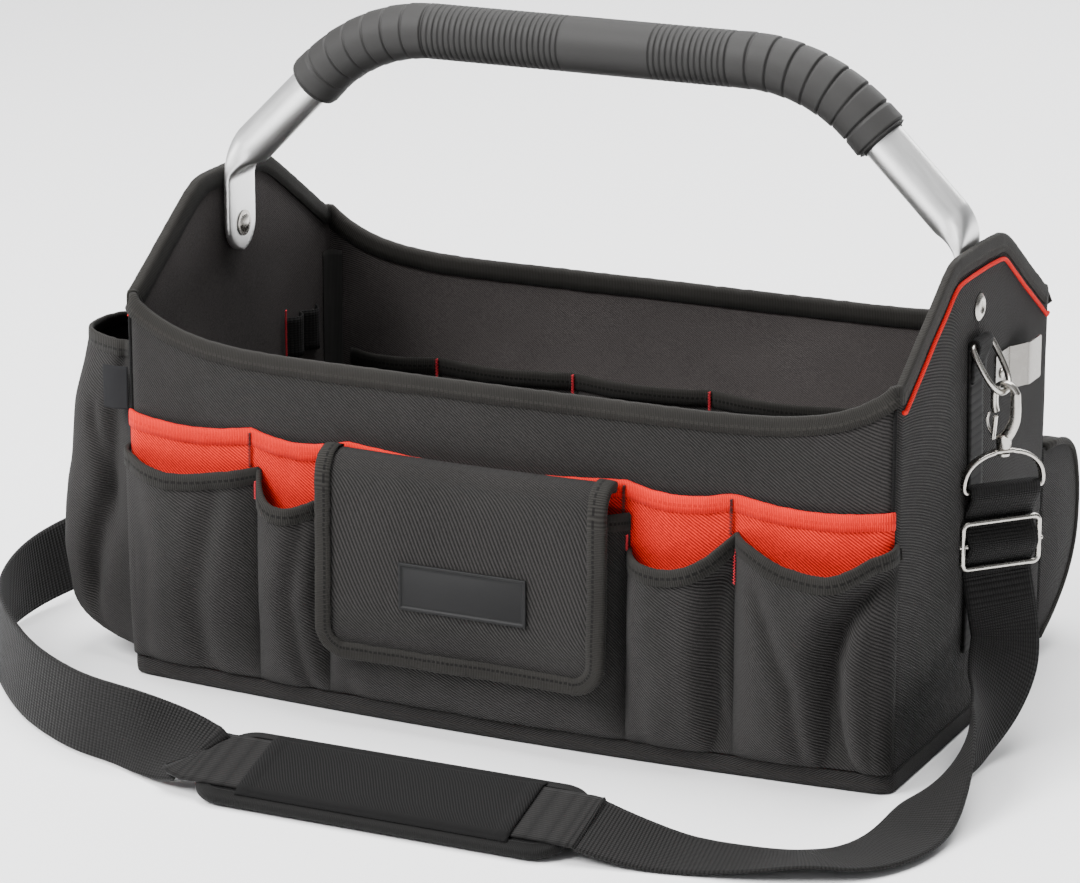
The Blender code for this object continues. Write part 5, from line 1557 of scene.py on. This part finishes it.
def build_corner_tapes():
    """Tape over the seams inside the corners."""
    low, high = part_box("corner_tape_left_front")
    wide = high.x - low.x
    radius = CORNER - WALL - GAP
    turn = radius * math.pi / 2
    straight = wide - radius
    total = turn + 2 * straight
    for x_name, sx in (("left", -1), ("right", 1)):
        for y_name, sy in (("front", -1), ("back", 1)):
            def surface(u, v, sx=sx, sy=sy):
                run = u * total
                cx = HALF - CORNER
                cy = SIDE - CORNER
                if run < straight:
                    x, y = cx - (straight - run), cy + radius
                elif run < straight + turn:
                    a = math.pi / 2 - (run - straight) / radius
                    x, y = cx + radius * math.cos(a), cy + radius * math.sin(a)
                else:
                    x, y = cx + radius, cy - (run - straight - turn)
                wave = 0.0002 * noise.noise(Vector((run * 90, v * 14, sx + sy)))
                return Vector((sx * (x - wave), sy * (y - wave), blend(low.z, high.z, v)))
            name = "corner_tape_" + x_name + "_" + y_name
            flip = 1.0 if sx * sy > 0 else -1.0
            piece = grid(name + "_cloth", surface, 18, 60, POCKET_BIND, TAPE, flip)
            carry(piece, "bag", "binding", name)


# Hanging hardware, as it hangs off an end
STRAP_TURN = {1: math.radians(41), -1: math.radians(27)}
STRAP_WIDTH = 0.044
STRAP = 0.0016
STRAP_PLAY = 0.0015
WEB = 0.0015
END_WEB = 0.022
END_WEB_FOOT = 0.05
RING_WIRE = 0.0018
RING_LENGTH = 0.034
RING_WIDTH = 0.034
RING_TILT = math.radians(30)
HOOK_WIRE = 0.002
HOOK_BEND = 0.0062
HOOK_TIP = 0.0105
COLLAR = 0.0042
COLLAR_TOP = 0.0035
SWIVEL = 0.0018
GATE_THIN = 0.0022
GATE_WIDE = 0.0036
GATE_SET = 0.0062
EYE_WIDTH = 0.053
EYE_BAR = 0.0024
EYE_DEPTH = 0.005
EYE_FLAT = 0.0055
SLIDER_HEIGHT = SLIDER_HIGH - SLIDER_LOW
SLIDER_BAR = 0.0032
SLIDER_CORNER = 0.005
RING_TOP = RING_HIGH - RING_WIRE
RING_OFF = GAP + WEB + GAP + RING_WIRE
RING_DROP = RING_LENGTH - 2 * RING_WIRE
HOOK_CENTRE = HOOK_TOP - HOOK_BEND - HOOK_WIRE


def hang(side):
    """Top of the hanging line, the way across the webbing and the way out from it."""
    top = Vector((side * (HALF + RING_OFF + RING_DROP * math.sin(RING_TILT)), HANG_Y, 0))
    turn = STRAP_TURN[side]
    across = Vector((math.sin(turn), math.cos(turn), 0)) * side
    out = Vector((math.cos(turn), -math.sin(turn), 0)) * side
    return top, across, out


def build_hardware():
    """Webbing loop, ring, snap hook, gate, eye and slider on both ends."""
    for name, side in (("left", -1), ("right", 1)):
        wall = end_wall(side)
        loop = RING_WIRE + GAP + WEB / 2
        flat = GAP + WEB / 2
        path = [(flat, blend(END_WEB_FOOT, RING_TOP - 0.002, i / 12)) for i in range(13)]
        for i in range(1, 15):
            a = math.pi * (1 - i / 14)
            path.append((RING_OFF + loop * math.cos(a), RING_TOP + loop * math.sin(a)))
        path += [(RING_OFF + loop * 0.75, RING_TOP - 0.004), (flat + WEB + 2 * GAP, RING_TOP - 0.011),
                 (flat + WEB + GAP, RING_TOP - 0.022)]
        stations = [(wall(HANG_Y, z, out), Vector((0, 1, 0))) for out, z in path]
        carry(band(name + "_webbing_loop", stations, WEB, END_WEB, WEBBING, 2), "bag", "webbing",
              name + "_end_webbing")

        half = RING_WIDTH / 2 - RING_WIRE
        drop = RING_DROP
        outline = [(-half * 0.8, 0.0), (0.0, 0.0), (half * 0.8, 0.0), (half, -0.004), (half, -drop * 0.5),
                   (half * 0.86, -drop * 0.78), (half * 0.5, -drop * 0.96), (0.0, -drop),
                   (-half * 0.5, -drop * 0.96), (-half * 0.86, -drop * 0.78), (-half, -drop * 0.5),
                   (-half, -0.004)]
        points = [Vector((side * (HALF + RING_OFF - z * math.sin(RING_TILT)), HANG_Y + y,
                          RING_TOP + z * math.cos(RING_TILT))) for y, z in outline]
        ring = wire(name + "_oval_ring", smooth_loop(points, 7),
                    (math.cos(RING_TILT), 0, side * math.sin(RING_TILT)), RING_WIRE, RING_WIRE, STEEL, True)
        carry(ring, "bag", "steel", name + "_ring")
        build_hook(name, side)
        build_eye_and_slider(name, side)


def build_hook(name, side):
    """Snap hook with its collar and swivel post, and the lever of its gate."""
    top = hang(side)[0]
    foot = GATE_FOOT
    line = [(0.0, foot + 0.001), (HOOK_BEND * 0.55, foot + 0.006), (HOOK_BEND, foot + 0.014)]
    line += [(HOOK_BEND * math.cos(math.pi * i / 12), HOOK_CENTRE + HOOK_BEND * math.sin(math.pi * i / 12))
             for i in range(13)]
    line += [(-HOOK_BEND, HOOK_CENTRE - HOOK_TIP * 0.57), (-HOOK_BEND * 0.85, HOOK_CENTRE - HOOK_TIP)]
    fine = smooth_rows(line, len(line) * 5)
    points = [Vector((top.x + side * o, top.y, z)) for o, z in fine]
    hook = wire(name + "_snap_hook", points, (0, 1, 0), lambda t: blend(0.0036, 0.0020, ease(t / 0.34)),
                HOOK_WIRE * 1.15, STEEL, square=0.7)
    carry(hook, "bag", "steel", name + "_hook")
    under = EYE_TOP - EYE_BAR - GAP
    high = foot + COLLAR_TOP
    profile = ((0.0, high + 0.0006), (COLLAR * 0.7, high + 0.0004), (COLLAR, high - 0.0006),
               (COLLAR, EYE_TOP + GAP + 0.0006), (COLLAR * 0.9, EYE_TOP + GAP), (SWIVEL, EYE_TOP + GAP),
               (SWIVEL, under), (0.0034, under), (0.0034, under - 0.0014), (0.0022, under - 0.002),
               (0.0, under - 0.0022))
    carry(spun(name + "_hook_collar", profile, (0, 0, 1), Vector((top.x, top.y, 0)), STEEL), "bag", "steel")
    pivot = Vector((top.x - side * GATE_SET, top.y, high - GAP))
    tip = Vector((top.x - side * HOOK_BEND * 0.85, top.y, HOOK_CENTRE - HOOK_TIP))
    end = tip + Vector((0, 0, -(HOOK_WIRE + 2 * GAP)))
    run = [pivot + (end - pivot) * blend(-0.25, 1.0, i / 20) for i in range(21)]
    gate = wire(name + "_gate_lever", run, (0, 1, 0), GATE_THIN / 2, GATE_WIDE / 2, STEEL, square=0.5)
    carry(gate, "gate_" + name, "steel", name + "_gate")
    rod = [pivot + Vector((-side * o, 0, z)) for o, z in
           smooth_rows([(0.0005, 0.0), (0.0030, 0.0035), (0.0040, 0.0085), (0.0030, 0.0125)], 24)]
    carry(wire(name + "_gate_thumb_rod", rod, (0, 1, 0), 0.0008, 0.0011, STEEL), "gate_" + name, "steel")


def build_eye_and_slider(name, side):
    """Swivel eye that the strap goes round, and the three-bar slider on the strap."""
    top, across, out = hang(side)
    half = EYE_WIDTH / 2 - EYE_BAR / 2
    height = EYE_TOP - EYE_FOOT - EYE_BAR
    arch = [(half * 0.94, 0.0)]
    for i in range(9):
        angle = math.radians(9.5 * i)
        arch.append((half * math.cos(angle), 0.003 + (height - 0.003) * math.sin(angle) ** 0.85))
    arch += [(EYE_FLAT, height), (0.0, height)]
    left = [(-x, y) for x, y in arch[-2::-1]]
    bar = [(half * 0.94 * blend(-1, 1, i / 8), 0.0) for i in range(1, 8)]
    flat = arch + left + bar
    base = Vector((top.x, top.y, EYE_FOOT + EYE_BAR / 2))
    points = [base + across * x + Vector((0, 0, y)) for x, y in flat]
    eye = wire(name + "_swivel_eye", smooth_loop(points, 3), out, EYE_BAR / 2, EYE_DEPTH / 2, STEEL, True,
               20, 0.45)
    carry(eye, "bag", "steel", name + "_eye")
    width = STRAP_WIDTH + STRAP_PLAY + SLIDER_BAR
    centre = Vector((top.x, top.y, SLIDER_CENTRE))
    flat = rounded_loop(width, SLIDER_HEIGHT - SLIDER_BAR, SLIDER_CORNER - SLIDER_BAR / 2, 8)
    points = [centre + across * x + Vector((0, 0, y)) for x, y in flat]
    slider = wire(name + "_slider_frame", points, out, SLIDER_BAR / 2, SLIDER_BAR / 2, STEEL, True)
    carry(slider, "bag", "steel", name + "_slider")
    bar = [centre + across * (width / 2 * blend(-1, 1, i / 10)) for i in range(11)]
    carry(wire(name + "_slider_bar", bar, out, SLIDER_BAR * 0.44, SLIDER_BAR * 0.44, STEEL), "bag", "steel")
    for share in (-1, 1):
        foot = centre + across * (share * (width / 2 + SLIDER_BAR / 2 - 0.0008))
        pin = spun(name + "_slider_pin_" + ("a" if share > 0 else "b"),
                   ((0.0, 0.0), (0.0012, 0.0), (0.0012, 0.0014), (0.0008, 0.0018), (0.0, 0.0018)),
                   across * share, foot, STEEL, 16)
        carry(pin, "bag", "steel")


def build_fittings():
    """Handle rivets, the tape measure clip with its rivet, and the woven side label."""
    for name, side in (("left", -1), ("right", 1)):
        low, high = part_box(name + "_rivet")
        head = (high.z - low.z) / 2
        outer = max(abs(low.x), abs(high.x))
        inner = min(abs(low.x), abs(high.x))
        tab_out = HALF - WALL - TAB_CLEAR
        tab_in = tab_out - TAB
        shaft = head * 0.42
        profile = ((0.0, outer - 0.0011), (head * 0.34, outer - 0.0011), (head * 0.42, outer - 0.0003),
                   (head * 0.56, outer), (head * 0.80, outer - 0.0005), (head, HALF + 0.0008),
                   (head, HALF + 0.0003), (shaft, HALF + 0.0003), (shaft, tab_in - GAP),
                   (head, tab_in - GAP), (head, tab_in - GAP - 0.0004),
                   (head * 0.72, tab_in - GAP - 0.0006), (head * 0.70, inner + 0.0010),
                   (head * 0.45, inner + 0.0003), (0.0, inner))
        rivet = spun(name + "_handle_rivet", profile, (side, 0, 0), Vector((0, 0, PIVOT)), STEEL)
        carry(rivet, "bag", "steel", name + "_rivet")
        washer = spun(name + "_rivet_washer",
                      ((shaft, tab_out + GAP), (head * 0.8, tab_out + GAP), (head * 0.8, HALF - WALL - GAP),
                       (shaft, HALF - WALL - GAP), (shaft, tab_out + GAP)),
                      (side, 0, 0), Vector((0, 0, PIVOT)), STEEL)
        carry(washer, "bag", "steel")
    clip_drop = 0.0035    # the clip hangs a little lower than its solid
    low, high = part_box("tape_clip")
    low = low + Vector((0, 0.008, -clip_drop))
    high = high + Vector((0, -0.009, -clip_drop))
    steel = 0.0012
    near = HALF + GAP + steel / 2
    far = high.x - steel / 2
    bend = low.y + 0.023
    path = [(near, low.y), (near, bend - 0.002), (near + 0.0012, bend + 0.0008),
            (far - 0.0012, bend + 0.0118), (far, bend + 0.0148), (far, high.y)]
    fine = smooth_rows(path, 50)

    def plate(u, v):
        i = round(u * 50)
        z = blend(low.z, high.z, v)
        tuck = 0.0012 * (1 - math.sqrt(max(0.0, 1 - max(0.0, abs(2 * v - 1) * 12 - 11) ** 2)))
        y = min(max(fine[i][1], low.y + tuck), high.y - tuck)
        return Vector((fine[i][0], y, z))
    clip = grid("tape_measure_clip", plate, 50, 24, CLIP_STEEL_PAINTED_SHADE, steel, 0.0)
    sharpen(clip, 40)
    carry(clip, "bag", "steel", "tape_clip")
    low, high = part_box("clip_rivet")
    radius = (high.z - low.z) / 2
    low = low + Vector((0, 0.007, -clip_drop))
    high = high + Vector((0, 0.007, -clip_drop))
    rise = high.x - low.x
    stud = spun("clip_small_rivet", ((0.0, 0.0), (radius, 0.0), (radius * 0.95, rise * 0.5),
                                     (radius * 0.6, rise * 0.9), (0.0, rise)),
                (1, 0, 0), Vector((low.x, (low.y + high.y) / 2, (low.z + high.z) / 2)), STEEL, 32)
    carry(stud, "bag", "steel", "clip_rivet")
    low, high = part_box("side_label")
    middle = (low.y + high.y) / 2

    def label(u, v):
        fold = 0.0010 * math.sin(math.pi * u) + 0.0006 * noise.noise(Vector((u * 2, v * 2, 1.0)))
        return Vector((blend(high.x, low.x, u), middle - fold, blend(low.z, high.z, v)))
    carry(grid("woven_side_label", label, 14, 18, LABEL_CLOTH, high.y - low.y, 0.0), "bag", "woven_label",
          "side_label")


# Route of the strap: x as a share of half the length, y, then its height as a lift off the
# ground and a share of the height of the slider's foot, and last the turn and the lean of its
# width in degrees
RIGHT_ROUTE = (
    (1.0871, -0.0069, 0.0000, 0.800, 49, 0),
    (1.1080, -0.0125, 0.0000, 0.560, 49, -10),
    (1.1208, -0.0420, 0.0050, 0.320, 48, -45),
    (1.1292, -0.0720, 0.0150, 0.100, 80, -76),
    (1.1333, -0.1050, 0.0205, 0.000, 165, -58),
    (1.1375, -0.1400, 0.0125, 0.000, 185, -28),
    (1.1417, -0.1750, 0.0045, 0.000, 182, -8),
    (1.1250, -0.2050, 0.0030, 0.000, 160, -4),
    (1.0750, -0.2280, 0.0035, 0.000, 130, -6),
    (0.9917, -0.2420, 0.0050, 0.000, 108, -10),
    (0.8750, -0.2520, 0.0035, 0.000, 98, -4),
    (0.7292, -0.2600, 0.0035, 0.000, 92, 4),
    (0.6042, -0.2660, 0.0090, 0.000, 90, 12),
)
LEFT_ROUTE = (
    (-0.5625, -0.2660, 0.0190, 0.000, 90, 50),
    (-0.6875, -0.2620, 0.0225, 0.000, 85, 74),
    (-0.8542, -0.2500, 0.0228, 0.000, 76, 78),
    (-1.0417, -0.2220, 0.0228, 0.000, 58, 80),
    (-1.2167, -0.1820, 0.0228, 0.000, 44, 82),
    (-1.3625, -0.1380, 0.0228, 0.000, 26, 84),
    (-1.4458, -0.0920, 0.0232, 0.000, 8, 88),
    (-1.4667, -0.0480, 0.0240, 0.020, -12, 96),
    (-1.4250, -0.0070, 0.0230, 0.080, -42, 108),
    (-1.3333, 0.0160, 0.0190, 0.200, -80, 126),
    (-1.2292, 0.0145, 0.0110, 0.400, -106, 150),
    (-1.1417, 0.0016, 0.0000, 0.680, -117, 172),
    (-1.0875, -0.0050, 0.0000, 0.860, -117, 180),
)
PAD_LENGTH = 0.226
PAD_WIDTH = 0.062
PAD = 0.006
PAD_TILT = math.radians(17)
PAD_CORNER = 0.020
PAD_STEPS = 240
PAD_ORIGIN = Vector((0.006, -0.297, 0.0006))
PAD_ACROSS = Vector((0, math.cos(PAD_TILT), math.sin(PAD_TILT)))
PAD_OFF = Vector((0, -math.sin(PAD_TILT), math.cos(PAD_TILT)))


def slider_route(side):
    """The strap at one end: its sewn end, round the eye, through the slider and out below."""
    top, across, out = hang(side)
    bar_z = EYE_FOOT + EYE_BAR / 2
    near = EYE_DEPTH / 2 + 2 * GAP + STRAP / 2
    over = bar_z + EYE_BAR / 2 + 2 * GAP + STRAP / 2
    behind = SLIDER_BAR / 2 + 2 * GAP + STRAP / 2
    back = behind + STRAP + 2 * GAP
    pitch = (SLIDER_HEIGHT - SLIDER_BAR) / 2
    path = ((-back, SLIDER_CENTRE - 0.006), (-back, SLIDER_CENTRE + pitch + 0.003),
            (-near, bar_z - 0.004), (-near, bar_z + 0.0008), (-near * 0.8, over), (0.0, over + GAP),
            (near * 0.8, over), (near, bar_z + 0.0008), (near, bar_z - 0.004),
            (-behind, SLIDER_CENTRE + pitch + 0.0040), (-behind, SLIDER_CENTRE + pitch - 0.0024),
            (behind, SLIDER_CENTRE + 0.0026), (behind, SLIDER_CENTRE - 0.0026),
            (-behind, SLIDER_CENTRE - pitch + 0.0024), (-behind, SLIDER_CENTRE - pitch - 0.0030),
            (-behind, SLIDER_CENTRE - pitch - 0.0060))
    return [(Vector((top.x, top.y, z)) + out * o, across * side) for o, z in path]


def build_strap():
    """The shoulder strap, with the two thicknesses of its ends, and its pad."""
    def width_vector(turn, lean):
        t = math.radians(turn)
        e = math.radians(lean)
        return Vector((math.cos(e) * math.cos(t), math.cos(e) * math.sin(t), math.sin(e)))

    def stations(rows):
        return [(Vector(row[:3]), width_vector(row[3], row[4])) for row in rows]

    def placed(rows):
        return [(HALF * x, y, lift + rise * SLIDER_LOW, turn, lean)
                for x, y, lift, rise, turn, lean in rows]
    middle = PAD_ORIGIN + PAD_ACROSS * (PAD_WIDTH / 2) + PAD_OFF * (PAD + GAP + STRAP / 2)
    reach = PAD_LENGTH / 2
    lean = math.degrees(PAD_TILT)
    in_pad = [(middle.x + s * reach, middle.y, middle.z, 90, lean) for s in (1.0, 0.5, 0.0, -0.5, -1.0)]
    right = placed(RIGHT_ROUTE) + in_pad[:1]
    left = in_pad[-1:] + placed(LEFT_ROUTE)
    route = stations(smooth_rows(right, (len(right) - 1) * 3))
    route += stations(in_pad[1:-1])
    route += stations(smooth_rows(left, (len(left) - 1) * 3))
    whole = slider_route(1) + route + slider_route(-1)[::-1]
    strap = band("shoulder_strap_webbing", whole, STRAP, STRAP_WIDTH, WEBBING, 4, 14)
    carry(strap, "bag", "webbing", "shoulder_strap")
    build_pad()


def pad_outline():
    """Even steps round the pad's outline, each with its way inwards."""
    dense = rounded_loop(PAD_LENGTH, PAD_WIDTH, PAD_CORNER, 60)
    dense.append(dense[0])
    steps = [math.dist(a, b) for a, b in zip(dense, dense[1:])]
    total = sum(steps)
    found = []
    index = 0
    passed = 0.0
    for k in range(PAD_STEPS):
        run = k / PAD_STEPS * total
        while passed + steps[index] < run:
            passed += steps[index]
            index += 1
        share = (run - passed) / steps[index]
        x = blend(dense[index][0], dense[index + 1][0], share)
        y = blend(dense[index][1], dense[index + 1][1], share)
        core_x = PAD_LENGTH / 2 - PAD_CORNER
        core_y = PAD_WIDTH / 2 - PAD_CORNER
        inwards = Vector((min(max(x, -core_x), core_x) - x, min(max(y, -core_y), core_y) - y))
        found.append((Vector((x, y)), inwards.normalized()))
    return found


def pad_ring(outline, inset, lift):
    """Points round the pad, moved in from its outline and lifted off its underside."""
    flat = [place + inwards * inset for place, inwards in outline]
    return [PAD_ORIGIN + Vector((p.x, 0, 0)) + PAD_ACROSS * (PAD_WIDTH / 2 + p.y) + PAD_OFF * lift
            for p in flat]


def pad_surface(outline, profile):
    """surface(u, v) round the pad; profile rows are (inset, lift), from its underside up."""
    rings = [pad_ring(outline, inset, lift) for inset, lift in profile]
    last = len(rings) - 1
    return lambda u, v: rings[last - round(v * last)][round(u * PAD_STEPS) % PAD_STEPS]


def build_pad():
    """Padded base under the strap, its binding and the sleeve over the strap."""
    profile = ((0.0190, 0.0), (0.0080, 0.0), (0.0022, 0.0002), (0.0006, 0.0014), (0.0003, 0.0030),
               (0.0008, 0.0046), (0.0024, 0.0056), (0.0080, 0.0060), (0.0190, 0.0060))
    outline = pad_outline()
    pad = grid("shoulder_pad_base", pad_surface(outline, profile), PAD_STEPS, len(profile) - 1,
               PAD_CLOTH, round_u=True, caps=True)
    carry(pad, "bag", "pad_cloth", "shoulder_pad")
    profile = ((0.0062, 0.0004), (0.0012, 0.0004), (0.0, 0.0016), (-0.0001, 0.0030), (0.0002, 0.0044),
               (0.0016, 0.0058), (0.0062, 0.0061), (0.0062, 0.0064), (0.0068, 0.0060))
    tape = grid("shoulder_pad_binding", pad_surface(outline, profile), PAD_STEPS, len(profile) - 1,
                PAD_BIND, 0.0004, 1.0, round_u=True)
    carry(tape, "bag", "binding")
    half = STRAP_WIDTH / 2 + STRAP_PLAY
    low = PAD + GAP
    high = PAD + GAP + STRAP + GAP
    rows = ((-half - 0.0035, low), (-half - 0.0008, low), (-half + 0.0004, low + 0.0010),
            (-half + 0.0024, high), (-half * 0.5, high), (0.0, high), (half * 0.5, high),
            (half - 0.0024, high), (half - 0.0004, low + 0.0010), (half + 0.0008, low),
            (half + 0.0035, low))
    reach = PAD_LENGTH / 2 - 0.0305
    last = len(rows) - 1

    def sleeve(u, v):
        across, lift = rows[round(v * last)]
        along = blend(-reach, reach, u)
        lift += 0.0005 * max(0.0, noise.noise(Vector((along * 30, across * 40, 2.0))))
        hem = (reach - abs(along)) / 0.009
        lift += 0.0011 * max(0.0, 1 - abs(2 * hem - 1) ** 2) * (1 - abs(across / (half + 0.0036)) ** 6)
        return PAD_ORIGIN + Vector((along, 0, 0)) + PAD_ACROSS * (PAD_WIDTH / 2 + across) + PAD_OFF * lift
    cover = grid("shoulder_pad_sleeve", sleeve, 90, last, PAD_CLOTH, 0.0010, 1.0)
    carry(cover, "bag", "pad_cloth", "pad_sleeve")


stage()
build_base()
build_walls()
build_welts()
build_red_layer()
build_front_pockets()
build_flap()
build_end_pocket()
build_back()
build_inside()
build_handle()
build_hardware()
build_fittings()
build_strap()
